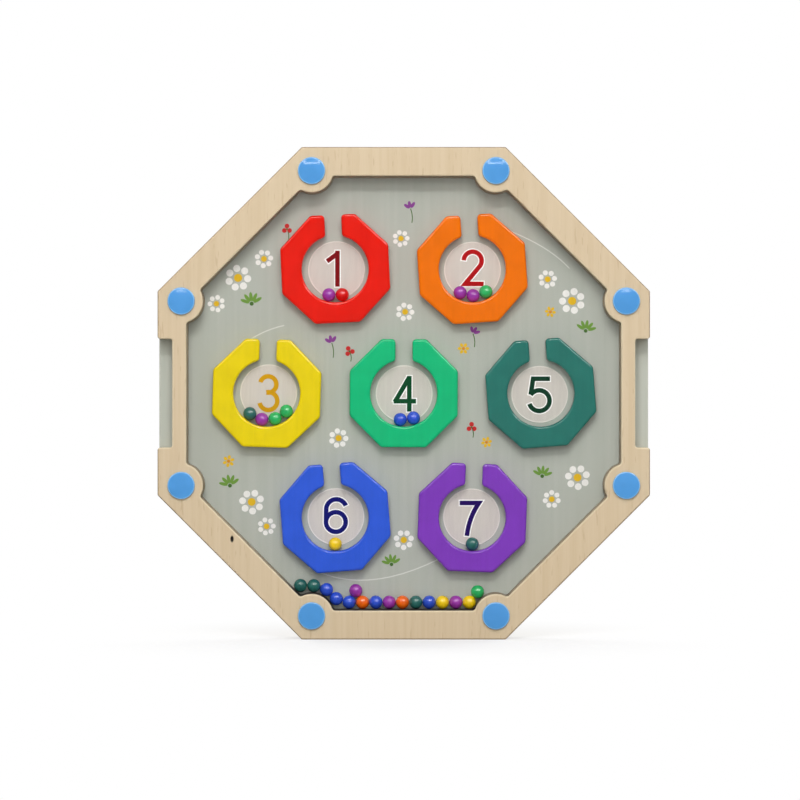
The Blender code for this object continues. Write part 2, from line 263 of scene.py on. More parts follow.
# %% The colour of the wood
BIRCH_LIGHT = colour(223, 207, 176)
BIRCH_STREAK = colour(213, 195, 161)
BIRCH_FLECK = colour(166, 136, 98)
BIRCH_END = colour(168, 128, 88)
GLUE = colour(104, 74, 50)
STREAKS, STREAK_SPAN = (190.0, 190.0, 5.0), (0.34, 0.68)      # waves a metre, and the part that shows
STREAK_DETAIL = (3.0, 0.55)
FIBRES = (1500.0, 1500.0, 26.0)
FLECKS, FLECK_SPAN = (620.0, 620.0, 70.0), (0.66, 0.74)
PATCHES = (14.0, 14.0, 7.0)
STREAK_SHARE, FIBRE_SHARE, PATCH_SHARE = 0.62, 0.2, 0.18
FLECK_DEPTH, END_DEPTH, GLUE_DEPTH = 0.28, 0.55, 0.6     # how far each dark colour covers the wood
PLY = 1.6 * MM
PLY_EDGE = (0.58, 0.42)     # these three are in plies
GLUE_LINE = (0.43, 0.48)
OUTER_PLY = (0.9, 0.6)


def ply_count(back, front):
    """An odd number of plies of about the usual thickness."""
    return max(3, 2 * round((front - back) / PLY / 2 - 0.5) + 1)


def birch_colour(place, back, front):
    """The colour of plywood between two heights, and the fibre pattern for its relief."""
    height = 0 - place.axes()[1]
    streak = noise(place, STREAKS, *STREAK_DETAIL).rise(*STREAK_SPAN)
    fibre = noise(place, FIBRES)
    tone = streak * STREAK_SHARE + fibre.rise(*NOISE_SPAN) * FIBRE_SHARE
    tone = tone + clouds(place, PATCHES) * PATCH_SHARE
    fleck = noise(place, FLECKS, detail=1.0).rise(*FLECK_SPAN)
    flat = (fleck * FLECK_DEPTH).blend(tone.blend(BIRCH_LIGHT, BIRCH_STREAK), BIRCH_FLECK)
    plies = ply_count(back, front)
    count = (height - back) / ((front - back) / plies)
    inside = 1 - abs(count - plies / 2).rise(plies / 2 - OUTER_PLY[0], plies / 2 - OUTER_PLY[1])
    cross = abs(count.maths("MODULO", count, 2.0) - 1.5).rise(*PLY_EDGE)
    glue = abs(count.maths("FRACT", count) - 0.5).rise(*GLUE_LINE) * inside
    sides = (cross * END_DEPTH).blend(flat, BIRCH_END)
    return (glue * GLUE_DEPTH).blend(sides, GLUE), fibre


for sheet in ("back_board", "spacer_frame", "front_frame"):
    print(sheet, "has", ply_count(*layer(sheet)), "plies")

# %% [markdown]
# ## Scorched cuts, painted shade and a knot
# The window was cut with heat, so its walls are dark brown below the sanded front edge. Towards the foot
# and the left they are darker still: painted shade, for the shadow of the balls that lie there. The outer
# edge is only toasted. The pin knot at the lower left is a small pit with a dark ring. All of these depend
# on nothing but the place on the sheet, so distances in the board's plane mix them in.

# %% The lacquered wood
# The dark brown of the window walls is scorch, and towards the foot it is also painted shade of the balls.
SCORCH_AND_SHADE = colour(38, 28, 20)
SCORCH_REACH = 163.0 * MM                   # from the middle of the board
FOOT_SHADE_FADE = (26.0 * MM, 44.0 * MM)        # above the foot, and higher towards the left
FOOT_SHADE_LEAN = 0.08
SCORCH_LEAST = 0.45
SANDED = 1.5 * MM                           # below the front face
SANDED_BLUR = 0.3 * MM
TOAST = colour(136, 100, 62)
TOAST_BLUR = 0.5 * MM
TOAST_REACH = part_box("front_frame")[1].x - TOAST_BLUR
TOAST_DEPTH = 0.75
KNOT = colour(20, 9, 3)
KNOT_PLACE = (-125.5 * MM, -106.5 * MM)
KNOT_SIZE = (0.9 * MM, 1.8 * MM)            # half its width and half its length
KNOT_RING = 1.7                             # the dark ring is so many times wider
KNOT_DEPTH = 2.0 * MM
LACQUER_ROUGH = (0.42, 0.6)
BIRCH_RELIEF = (0.25, 0.15 * MM)            # strength and depth


def scorched_with_shade(wood, place, front, sanded):
    """Brown cuts outside, dark ones round the window below a sanded edge, and painted shade at the foot."""
    x, y, z = place.axes()
    across, up = abs(x), abs(z - MIDDLE)
    reach = across.maths("MAXIMUM", across.maths("MAXIMUM", across, up), (across + up) * math.sqrt(0.5))
    toasted = (reach.rise(TOAST_REACH - TOAST_BLUR, TOAST_REACH) * TOAST_DEPTH).blend(wood, TOAST)
    below = (0 - y).rise(front - sanded + SANDED_BLUR, front - sanded)
    # Darker towards the foot and the left: painted shade where the balls lie, laid over the scorch.
    scorch_and_shade = (z + x * FOOT_SHADE_LEAN).rise(FOOT_SHADE_FADE[1], FOOT_SHADE_FADE[0]).between(SCORCH_LEAST, 1)
    return (reach.rise(SCORCH_REACH + MM, SCORCH_REACH - MM) * below * scorch_and_shade).blend(toasted, SCORCH_AND_SHADE)


def knotted(wood, place):
    """Wood with a dark oval round the pin knot."""
    x, _, z = place.axes()
    across = (x - KNOT_PLACE[0]) / KNOT_SIZE[0]
    along = (z - (MIDDLE + KNOT_PLACE[1])) / KNOT_SIZE[1]
    far = (across * across + along * along) ** 0.5
    return far.rise(KNOT_RING, 1.0).blend(wood, KNOT)


def birch(name, back, front, sanded=0.0, knot=False):
    """Clear-lacquered birch plywood."""
    made, shader, place = finish(name)
    wood, fibre = birch_colour(place, back, front)
    wood = scorched_with_shade(wood, place, front, sanded)
    connect(knotted(wood, place) if knot else wood, shader, "Base Color")
    connect(fibre.between(*LACQUER_ROUGH), shader, "Roughness")
    bump(fibre, shader, *BIRCH_RELIEF)
    return made


FRAME_BIRCH = birch("birch_frame", *layer("front_frame"), SANDED, knot=True)
SPACER_BIRCH = birch("birch_spacer", *layer("spacer_frame"))
print("birch:", FRAME_BIRCH.name, SPACER_BIRCH.name)

# %% [markdown]
# ## Outlines
# Every flat piece starts as an outline in the board's plane. The outlines are corners with a radius, and
# arcs, so they follow the same few sizes as the real pieces. All of them run with the wood on their left, so
# an outer edge goes round counter-clockwise and the edge of a hole goes round clockwise.

# %% Arcs and rounded corners
ARC_STEP = math.radians(7.5)
EIGHTH = math.pi / 4


def direction(angle):
    return Vector((math.cos(angle), math.sin(angle)))


def arc(centre, radius, start, stop):
    """Points on an arc, both ends included."""
    steps = max(2, math.ceil(abs(stop - start) / ARC_STEP))
    return [centre + radius * direction(start + (stop - start) * i / steps) for i in range(steps + 1)]


def short_arc(centre, first, last):
    """Points on the shorter arc about centre from one point to another."""
    start = math.atan2(*(first - centre).yx)
    stop = math.atan2(*(last - centre).yx)
    sweep = (stop - start + math.pi) % (2 * math.pi) - math.pi
    return arc(centre, (first - centre).length, start, start + sweep)


def round_corners(corners):
    """A closed outline through (point, radius) corners."""
    points = []
    for i, (corner, radius) in enumerate(corners):
        if radius == 0:
            points.append(corner)
            continue
        back = (corners[i - 1][0] - corner).normalized()
        ahead = (corners[(i + 1) % len(corners)][0] - corner).normalized()
        half = back.angle(ahead) / 2
        centre = corner + (back + ahead).normalized() * radius / math.sin(half)
        run = radius / math.tan(half)
        points += short_arc(centre, corner + back * run, corner + ahead * run)
    return points


def octagon(apothem):
    """The corners of an octagon that stands on a flat, from the right side's lower corner."""
    return [apothem / math.cos(EIGHTH / 2) * direction(EIGHTH * (i - 0.5)) for i in range(8)]


def circle_hole(centre, radius):
    """The edge of a round hole."""
    return list(reversed(arc(centre, radius, 0, 2 * math.pi)[:-1]))


print(len(octagon(1)), "corners,", len(circle_hole(Vector((0, 0)), 1)), "points round a hole")

# %% [markdown]
# ## Sheets with rounded edges
# An outline becomes a sheet by lofting: the outline is repeated at several heights, moved into the wood a
# little at the edges, and neighbouring loops are joined by quads. One more loop on each flat face keeps the
# rounding's smooth shading from spreading over the whole face. A Bevel modifier would do the same, but with
# holes, lobes and slots of different sizes a loft is surer to stay closed.

# %% Steps up a side
FLAT_LOOP = 0.25 * MM
EDGE_STEPS = 6


def moved_in(outline, distance):
    """An outline shifted to its left, into the wood."""
    moved = []
    for i, point in enumerate(outline):
        back = (point - outline[i - 1]).normalized()
        ahead = (outline[(i + 1) % len(outline)] - point).normalized()
        left = Vector((-back.y - ahead.y, back.x + ahead.x)).normalized()
        moved.append(point + left * distance / left.dot(Vector((-ahead.y, ahead.x))))
    return moved


def quarter_turn(steps):
    """Angles from 0 to a right one."""
    return [math.pi / 2 * i / steps for i in range(steps + 1)]


def rounded(back, front, back_round, front_round):
    """The (inset, height) steps up a side whose two edges are rounded."""
    turns = quarter_turn(EDGE_STEPS)
    steps = [(back_round + FLAT_LOOP, back)]
    steps += [(back_round * (1 - math.sin(t)), back + back_round * (1 - math.cos(t))) for t in turns]
    steps += [(front_round * (1 - math.cos(t)), front - front_round * (1 - math.sin(t))) for t in turns]
    return steps + [(front_round + FLAT_LOOP, front)]


def straight(bottom, top):
    """The steps up a plain wall."""
    return [(0, bottom), (0, top)]


print(len(rounded(0, 1, 0, 0)), "steps up a rounded side")

# %% Walls and flat faces
def loft(bm, outline, steps):
    """Walls along an outline. Returns its first and its last loop of points."""
    loops = []
    for inset, height in steps:
        loops.append([bm.verts.new(upright(*point, height)) for point in moved_in(outline, inset)])
    for low, high in zip(loops, loops[1:]):
        for i in range(len(outline)):
            bm.faces.new((low[i - 1], low[i], high[i], high[i - 1]))
    return loops[0], loops[-1]


def loop_edges(bm, points):
    return [bm.edges.get((points[i - 1], points[i])) for i in range(len(points))]


def fill(bm, edges):
    """Closes what lies between loops of one flat face."""
    bmesh.ops.triangle_fill(bm, edges=edges, use_beauty=True, normal=(0, -1, 0))


trial = bmesh.new()
loft(trial, octagon(1), straight(0, 1))
print(len(trial.faces), "walls round an octagon")
trial.free()

# %% Finished pieces
SMOOTH_UNDER = math.radians(38)
SAME_POINT = 0.0005 * MM


def smooth(mesh):
    """Smooth shading where faces nearly agree."""
    mesh.shade_smooth()
    mesh.set_sharp_from_angle(angle=SMOOTH_UNDER)


def add_object(name, data):
    """Puts a mesh, a lamp or a camera in the scene."""
    made = bpy.data.objects.new(name, data)
    bpy.context.scene.collection.objects.link(made)
    return made


def new_piece(name, bm, material):
    """A finished piece from a bmesh."""
    bmesh.ops.remove_doubles(bm, verts=bm.verts[:], dist=SAME_POINT)
    bmesh.ops.recalc_face_normals(bm, faces=bm.faces[:])
    mesh = bpy.data.meshes.new(name)
    bm.to_mesh(mesh)
    bm.free()
    smooth(mesh)
    mesh.materials.append(material)
    return add_object(name, mesh)


def new_sheet(name, walls, material, pits=()):
    """A sheet between (outline, steps) walls. A pit is a wall round a blind hole, from its bottom up."""
    bm = bmesh.new()
    backs, fronts = [], []
    for outline, steps in walls:
        first, last = loft(bm, outline, steps)
        backs += loop_edges(bm, first)
        fronts += loop_edges(bm, last)
    for outline, steps in pits:
        bottom, last = loft(bm, outline, steps)
        bm.faces.new(bottom)
        fronts += loop_edges(bm, last)
    fill(bm, backs)
    fill(bm, fronts)
    return new_piece(name, bm, material)


def stands_for(piece, *nodes):
    """Puts a piece on the body of its solids, in their place, and hides them."""
    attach(piece, BODY_OF[nodes[0]])
    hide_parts(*nodes)
    print(piece.name, "for", len(nodes), "node(s),", len(piece.data.polygons), "faces")


print("edges of more than", round(math.degrees(SMOOTH_UNDER)), "degrees stay sharp")

# %% [markdown]
# ## The front frame and the spacer
# Both are the same octagonal ring of plywood, with a lobe in each corner for the screw and a grip notch on
# the left and the right. The front frame is the one that hands touch, so its edges are sanded round, and
# each corner has a stepped bore for a screw's head and its cap. The spacer between board and clear sheet
# keeps sharper edges.

# %% The outer edge with its notches
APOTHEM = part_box("back_board")[1].x
FRAME_CORNER = 2.0 * MM
NOTCH_LENGTH = 79.5 * MM
NOTCH_DEPTH = 10.7 * MM
NOTCH_ROUND = 2.0 * MM


def notched_outline():
    """The octagon with a grip notch in its right and its left side."""
    corners = []
    for i, corner in enumerate(octagon(APOTHEM)):
        corners.append((corner, FRAME_CORNER))
        if i % 4 == 0:
            side = 1 if i == 0 else -1
            mouth, floor = side * APOTHEM, side * (APOTHEM - NOTCH_DEPTH)
            half = side * NOTCH_LENGTH / 2
            for x, y in ((mouth, -half), (floor, -half), (floor, half), (mouth, half)):
                corners.append((Vector((x, y)), NOTCH_ROUND))
    return round_corners(corners)


print(len(notched_outline()), "points round the outside")

# %% The window with its lobes
CAPS = [centre_of(f"cap_{i}") for i in range(1, 9)]
BAR_WIDTH = 21.5 * MM
LOBE_RADIUS = 16.3 * MM
LOBE_FILLET = 2.2 * MM


def fillet_centre(lobe, side_angle, along):
    """The centre of the fillet between a lobe and the window's side that faces side_angle."""
    out = direction(side_angle)
    sideways = Vector((-out.y, out.x))
    depth = APOTHEM - BAR_WIDTH - LOBE_FILLET
    run = math.sqrt((LOBE_RADIUS + LOBE_FILLET) ** 2 - (lobe.dot(out) - depth) ** 2)
    return out * depth + sideways * (lobe.dot(sideways) + along * run)


def window_outline():
    """The frame's inner edge, with a round lobe in each corner."""
    points = []
    share = LOBE_RADIUS / (LOBE_RADIUS + LOBE_FILLET)
    for i, lobe in enumerate(CAPS):
        before, after = EIGHTH * (i - 1), EIGHTH * i
        first, last = fillet_centre(lobe, before, -1), fillet_centre(lobe, after, 1)
        start, stop = lobe + (first - lobe) * share, lobe + (last - lobe) * share
        points += short_arc(first, first + LOBE_FILLET * direction(before), start)
        points += short_arc(lobe, start, stop)[1:-1]
        points += short_arc(last, stop, last + LOBE_FILLET * direction(after))
    return list(reversed(points))


print(len(window_outline()), "points round the window")

# %% Cut the frame and the spacer
FRAME_ROUND = 1.2 * MM
FRAME_STEP = 0.4 * MM       # the frame's window is wider than the spacer's
CUT_ROUND = 0.25 * MM
HEAD_BORE = 11.6 * MM
SHANK_HOLE = 4.0 * MM
HEAD_FLOOR = 2.0 * MM


def screw_holes(width, steps):
    """A round hole at each screw, with the steps up its wall."""
    return [(circle_hole(centre, width / 2), steps) for centre in CAPS]


back, front = layer("front_frame")
edge = rounded(back, front, CUT_ROUND, FRAME_ROUND)
narrow = -(HEAD_BORE - SHANK_HOLE) / 2
bore = [(narrow, back), (narrow, back + HEAD_FLOOR)] + straight(back + HEAD_FLOOR, front)
walls = [(notched_outline(), edge), (moved_in(window_outline(), FRAME_STEP), edge)]
round_knot = circle_hole(Vector((0, 0)), 1)
knot = [Vector(KNOT_PLACE) + Vector((p.x * KNOT_SIZE[0], p.y * KNOT_SIZE[1])) for p in round_knot]
pits = [(knot, straight(front - KNOT_DEPTH, front))]
made = new_sheet("front_frame_birch", walls + screw_holes(HEAD_BORE, bore), FRAME_BIRCH, pits)
stands_for(made, "front_frame")

back, front = layer("spacer_frame")
edge = rounded(back, front, CUT_ROUND, CUT_ROUND)
walls = [(notched_outline(), edge), (window_outline(), edge)]
walls += screw_holes(SHANK_HOLE, straight(back, front))
stands_for(new_sheet("spacer_birch", walls, SPACER_BIRCH), "spacer_frame")

# %% [markdown]
# ## The clear sheet
# The balls stay in because of a thin sheet of clear acrylic between spacer and frame. Glass shaders refract
# and are slow, and through two flat faces nothing is bent anyway. A very low, constant alpha with a
# polished, slightly uneven surface shows the board behind it and keeps a trace of the lamps' shine. The sawn
# edges are paler and less clear, so each point of the mesh stores whether it lies on one.

# %% Cut the clear sheet
FACE_TINT, FACE_ALPHA, FACE_ROUGH = colour(24, 28, 27), 0.03, 0.03
SAWN_TINT, SAWN_ALPHA, SAWN_ROUGH = colour(176, 198, 190), 0.6, 0.3
RIPPLES, RIPPLE_ROUGH = 22.0, 0.06
SKIN = 0.01 * MM


def store(mesh, name, values):
    """A named value on each point of a mesh."""
    mesh.attributes.new(name, "FLOAT", "POINT").data.foreach_set("value", values)


def stored(place, name):
    """Reads such a value in a shader tree."""
    return place.node("ShaderNodeAttribute", {"attribute_name": name}, output="Fac")


def clear_acrylic():
    made, shader, place = finish("clear_acrylic")
    sawn = stored(place, "sawn")
    connect(sawn.blend(FACE_TINT, SAWN_TINT), shader, "Base Color")
    connect(sawn.between(FACE_ALPHA, SAWN_ALPHA), shader, "Alpha")
    connect(noise(place, RIPPLES) * RIPPLE_ROUGH + sawn * SAWN_ROUGH + FACE_ROUGH, shader, "Roughness")
    return made


back, front = layer("clear_cover")
walls = [(notched_outline(), rounded(back, front, CUT_ROUND, CUT_ROUND))]
walls += screw_holes(SHANK_HOLE, straight(back, front))
clear = new_sheet("clear_sheet", walls, clear_acrylic())
store(clear.data, "sawn", [float(back + SKIN < -p.co.y < front - SKIN) for p in clear.data.vertices])
stands_for(clear, "clear_cover")

# %% [markdown]
# ## The printed board
# The back board is plywood too, with a matt grey-green print on its front. The print is thin, so the upright
# grain shows through as faint streaks. The height decides where the print ends: its front face is painted,
# and the cut edges and the back stay birch.

# %% Cut the back board
PRINT_GREY = colour(183, 186, 176)
PRINT_STREAK = colour(176, 180, 169)
PRINT_STREAKS, PRINT_PATCHES = (240.0, 240.0, 4.0), 9.0
PRINT_STREAK_SHARE = 0.7
PRINT_ROUGH = (0.5, 0.62)
PRINT_RELIEF = (0.2, 0.08 * MM)
MATT = {"Specular IOR Level": 0.25}
PRINT_DEPTH = 0.06 * MM
PILOT_HOLE = 3.6 * MM
PILOT_DEPTH = 3.5 * MM


def printed_board():
    made, shader, place = finish("printed_board", MATT)
    back, front = layer("back_board")
    wood, fibre = birch_colour(place, back, front)
    tone = clouds(place, PRINT_STREAKS, detail=3.0) * PRINT_STREAK_SHARE
    tone = tone + clouds(place, PRINT_PATCHES) * (1 - PRINT_STREAK_SHARE)
    on_front = (0 - place.axes()[1]).rise(front - 2 * PRINT_DEPTH, front - PRINT_DEPTH)
    connect(on_front.blend(wood, tone.blend(PRINT_GREY, PRINT_STREAK)), shader, "Base Color")
    connect(fibre.between(*PRINT_ROUGH), shader, "Roughness")
    bump(fibre, shader, *PRINT_RELIEF)
    return made


back, front = layer("back_board")
outer = round_corners([(corner, FRAME_CORNER) for corner in octagon(APOTHEM)])
walls = [(outer, rounded(back, front, CUT_ROUND, CUT_ROUND))]
pits = screw_holes(PILOT_HOLE, straight(front - PILOT_DEPTH, front))
stands_for(new_sheet("printed_back_board", walls, printed_board(), pits), "back_board")

# %% [markdown]
# ## The seven rings
# Each ring is a block of wood, octagonal outside and round inside, with a slot at the top that lets one ball
# through. The front edges are well rounded and the paint is satin, so the light draws a thin line along
# every edge that faces up. They were glued on by hand, so each one is turned a little, and that turn is part
# of the look. The shine is all in a clear coat, because a glossy base as well would grey the colours.

# %% Paint on wood
RING_PAINT = {
    "red": colour(235, 25, 8),
    "orange": colour(243, 115, 0),
    "yellow": colour(238, 212, 9),
    "green": colour(23, 190, 124),
    "teal": colour(46, 118, 107),
    "blue": colour(52, 94, 219),
    "purple": colour(130, 63, 190),
}
SATIN = {"Specular IOR Level": 0.0, "Coat Weight": 1.0, "Coat Roughness": 0.11}
SATIN_SPAN, SATIN_ROUGH, SATIN_RELIEF = (0.94, 1.05), (0.2, 0.28), (0.18, 0.15 * MM)
PAINT_GRAIN, PAINT_GRAIN_SPAN = (420.0, 420.0, 16.0), (0.35, 0.65)
PAINT_CLOUDS, PAINT_PEEL = 70.0, 900.0
CLOUD_SHARE = 0.6
GRAIN_SHARE = 0.6


def satin_paint(name, tint):
    """Sprayed paint that lets a trace of the grain through."""
    made, shader, place = finish(name, SATIN)
    grain = noise(place, PAINT_GRAIN, detail=3.0)
    cloud = clouds(place, PAINT_CLOUDS)
    tone = cloud * CLOUD_SHARE + grain.rise(*PAINT_GRAIN_SPAN) * (1 - CLOUD_SHARE)
    connect(uneven(tone, tint, *SATIN_SPAN), shader, "Base Color")
    connect(cloud.between(*SATIN_ROUGH), shader, "Roughness")
    relief = grain * GRAIN_SHARE + noise(place, PAINT_PEEL, detail=1.0) * (1 - GRAIN_SHARE)
    bump(relief, shader, *SATIN_RELIEF)
    return made


print(len(RING_PAINT), "ring paints")

# %% The outline of a ring
RING_ACROSS = 79.5 * MM
RING_BORE = 49.0 * MM
SLOT_WIDTH = 12.3 * MM
RING_CORNER = 4.0 * MM
RING_LIP = 2.8 * MM


def ring_outline():
    """A slotted ring: octagon outside, round bore, and a slot of even width through the top side."""
    top, radius, half_slot = RING_ACROSS / 2, RING_BORE / 2, SLOT_WIDTH / 2
    lip = Vector((half_slot + RING_LIP, 0))
    lip.y = math.sqrt((radius + RING_LIP) ** 2 - lip.x ** 2)
    lip_end = lip * radius / (radius + RING_LIP)
    foot = Vector((half_slot, lip.y))
    corners = octagon(top)
    outer = [(Vector((-foot.x, foot.y)), 0), (Vector((-half_slot, top)), RING_LIP)]
    outer += [(corner, RING_CORNER) for corner in corners[3:] + corners[:3]]
    outer += [(Vector((half_slot, top)), RING_LIP), (foot, 0)]
    start = math.atan2(lip_end.y, lip_end.x)
    right_lip = short_arc(lip, foot, lip_end)[1:]
    wall = arc(Vector((0, 0)), radius, start, -math.pi - start)[1:-1]
    left_lip = [Vector((-point.x, point.y)) for point in reversed(right_lip)]
    return round_corners(outer) + right_lip + wall + left_lip


print(len(ring_outline()), "points round a ring")

# %% Cut the rings
RING_ROUND = 1.8 * MM
RINGS = {       # paint, column, row and turn in degrees
    1: ("red", -0.5, 1, 2.7),
    2: ("orange", 0.5, 1, 3.9),
    3: ("yellow", -1, 0, -1.8),
    4: ("green", 0, 0, -0.3),
    5: ("teal", 1, 0, 4.4),
    6: ("blue", -0.5, -1, 4.5),
    7: ("purple", 0.5, -1, -2.3),
}
HINGES = {joint["name"]: joint["pos_m"] for joint in frame["joints"] if joint["type"] == "hinge"}
COLUMN = HINGES["ring_7_ball_1_roll"][0] - HINGES["ring_6_ball_1_roll"][0]
ROW = HINGES["ring_1_ball_1_roll"][2] - HINGES["ring_4_ball_1_roll"][2]
RING_CENTRE = {n: Vector((column * COLUMN, row * ROW)) for n, (_, column, row, _) in RINGS.items()}


def placed(outline, centre, turn):
    """An outline turned and moved in the board's plane."""
    cosine, sine = math.cos(turn), math.sin(turn)
    return [centre + Vector((cosine * p.x - sine * p.y, sine * p.x + cosine * p.y)) for p in outline]


for number, (tint, _, _, turn) in RINGS.items():
    node = f"ring_{number}_{tint}"
    outline = placed(ring_outline(), RING_CENTRE[number], math.radians(turn))
    walls = [(outline, rounded(*layer(node), CUT_ROUND, RING_ROUND))]
    stands_for(new_sheet(f"{node}_painted", walls, satin_paint(f"paint_{tint}", RING_PAINT[tint])), node)

# %% [markdown]
# ## One shape on many points
# Eight caps, eight screws and seven number discs are each one shape at several places. Copying meshes in a
# loop would work, but a small geometry tree says it better: put this object on each of these points, give
# each copy a random turn, and make the result real. The turn has a fixed seed, so that every run gives the
# same board.

# %% How a tree starts, ends and runs
def new_tree(name, inputs):
    """A geometry tree with named inputs. Returns it with the wire of its first input."""
    tree = bpy.data.node_groups.new(name, "GeometryNodeTree")
    tree.interface.new_socket("Geometry", in_out="OUTPUT", socket_type="NodeSocketGeometry")
    tree.interface.new_socket("Geometry", in_out="INPUT", socket_type="NodeSocketGeometry")
    for label, kind in inputs.items():
        tree.interface.new_socket(label, in_out="INPUT", socket_type=f"NodeSocket{kind}")
    return tree, Wire(tree).node("NodeGroupInput")


def end_tree(start, geometry):
    """Closes a tree: instances become real and take their finish."""
    real = start.node("GeometryNodeRealizeInstances", sockets={"Geometry": geometry})
    values = {"Geometry": real, "Material": start.other("Finish")}
    start.node("NodeGroupOutput", sockets={0: start.node("GeometryNodeSetMaterial", sockets=values)})


def as_mesh(made, name):
    """The mesh of an object with its modifiers applied."""
    graph = bpy.context.evaluated_depsgraph_get()
    mesh = bpy.data.meshes.new_from_object(made.evaluated_get(graph), depsgraph=graph)
    mesh.name = name
    return mesh


def grown(name, mesh, tree, values):
    """Runs a tree on a mesh and keeps the result as a plain piece."""
    made = add_object(name, mesh)
    modifier = made.modifiers.new("grow", "NODES")
    modifier.node_group = tree
    for socket in tree.interface.items_tree:
        if socket.in_out == "INPUT" and socket.name in values:
            modifier[socket.identifier] = values[socket.name]
    result = as_mesh(made, name)
    made.modifiers.remove(modifier)
    made.data = result
    smooth(result)
    return made


print("a tree can start, end and run")

# %% A tree that puts an object on each point
ON_POINTS, start = new_tree("one on each point", {"Shape": "Object", "Seed": "Int", "Finish": "Material"})
shape = start.node("GeometryNodeObjectInfo", sockets={"Object": start.other("Shape")}, output="Geometry")
turn = start.node(
    "FunctionNodeRandomValue", {"data_type": "FLOAT"},
    {2: 0.0, 3: 2 * math.pi, "Seed": start.other("Seed")}, 1,
)
end_tree(start, start.node(
    "GeometryNodeInstanceOnPoints",
    sockets={"Points": start, "Instance": shape, "Rotation": start.vector(Y=turn)},
))


def repeated(name, shape, places, material, seed=0):
    """Puts a shape that was made at the origin on several places of the board's plane, as one piece."""
    mesh = bpy.data.meshes.new(name)
    mesh.from_pydata([upright(x, y, 0) for x, y in places], [], [])
    made = grown(name, mesh, ON_POINTS, {"Shape": shape, "Seed": seed, "Finish": material})
    bpy.data.objects.remove(shape)
    return made


print("tree:", ON_POINTS.name)

# %% [markdown]
# ## Caps and screws
# A cap is a turned shape, so it is drawn as half a section and spun. Its face is a shallow dome with a small
# round at the rim, and its hollow stem fits round the screw's head. The screws can't be seen, but they are
# what holds the sandwich together, so they have a cross recess and a ridged shank as real ones do.

# %% Spun shapes
SPIN_SIDES = 64


def spun(profile, sides=SPIN_SIDES):
    """A solid turned about the line of sight from (radius, height) points."""
    bm = bmesh.new()
    points = [bm.verts.new((radius, -height, 0)) for radius, height in profile]
    edges = [bm.edges.new(pair) for pair in zip(points, points[1:])]
    bmesh.ops.spin(
        bm, geom=points + edges, cent=(0, 0, 0), axis=(0, 1, 0), angle=2 * math.pi, steps=sides,
        use_merge=True, use_duplicate=False,
    )
    bmesh.ops.remove_doubles(bm, verts=bm.verts[:], dist=SAME_POINT)
    return bm


def quarter(radius, height, size, steps=8):
    """A rounded outer edge from flat to upright, as (radius, height) points."""
    turns = quarter_turn(steps)
    return [(radius - size * (1 - math.sin(t)), height - size * (1 - math.cos(t))) for t in turns]


def mark_edge(piece, radius):
    """Stores how near each point of a turned piece is to its edge: 1 is on the edge."""
    store(piece.data, "edge", [math.hypot(point.co.x, point.co.z) / radius for point in piece.data.vertices])


def edged(tint, edge_tint, place, start, stop):
    """A colour that turns into another one towards the edge of a turned piece."""
    return stored(place, "edge").rise(start, stop).blend(tint, edge_tint)


print(SPIN_SIDES, "sides to a turned piece")

# %% Turn the caps
CAP_BLUE = colour(82, 152, 216)
# The paler blue is a painted highlight on the cap's rounded rim.
CAP_RIM_HIGHLIGHT = colour(134, 188, 236)
CAP_RADIUS = 10.0 * MM
CAP_EDGE = 0.9 * MM
CAP_SEAT = layer("front_frame")[1] + 0.3 * MM
CAP_STEM = 5.5 * MM
CAP_HOLLOW = 4.3 * MM
CAP_ROOF = 1.6 * MM
CAP_DOME = 50.0 * MM
DOME_STEPS = 6
PLASTIC_FLOW, PLASTIC_SKIN = 60.0, 1800.0
PLASTIC_SPAN, PLASTIC_ROUGH, PLASTIC_RELIEF = (0.96, 1.04), (0.06, 0.12), (0.04, 0.02 * MM)
CAP_HIGHLIGHT_SPAN = (0.89, 0.96)      # where the paler edge begins and is full


def moulded_plastic(name, tint, edge_tint):
    """Moulded plastic with a faint flow pattern, a fine skin and a painted highlight along its edge."""
    made, shader, place = finish(name)
    flow = clouds(place, PLASTIC_FLOW)
    body = uneven(flow, tint, *PLASTIC_SPAN)
    connect(edged(body, edge_tint, place, *CAP_HIGHLIGHT_SPAN), shader, "Base Color")
    connect(flow.between(*PLASTIC_ROUGH), shader, "Roughness")
    bump(noise(place, PLASTIC_SKIN, detail=1.0), shader, *PLASTIC_RELIEF)
    return made


def domed(radius, top):
    """The height of a cap's face at a radius."""
    return top - radius ** 2 / CAP_DOME / 2


stem_end, top = layer("cap_1")
rim = CAP_RADIUS - CAP_EDGE
profile = [(rim * i / DOME_STEPS, domed(rim * i / DOME_STEPS, top)) for i in range(DOME_STEPS)]
profile += quarter(CAP_RADIUS, domed(rim, top), CAP_EDGE)
profile += [(CAP_RADIUS, CAP_SEAT), (CAP_STEM, CAP_SEAT), (CAP_STEM, stem_end), (CAP_HOLLOW, stem_end)]
profile += [(CAP_HOLLOW, top - CAP_ROOF), (0, top - CAP_ROOF)]
# The pale rim colour is a painted highlight.
blue = moulded_plastic("cap_plastic", CAP_BLUE, CAP_RIM_HIGHLIGHT)
cap = new_piece("cap_shape", spun(profile), blue)
mark_edge(cap, CAP_RADIUS)
stands_for(repeated("blue_caps", cap, CAPS, blue, seed=3), *[f"cap_{i}" for i in range(1, 9)])

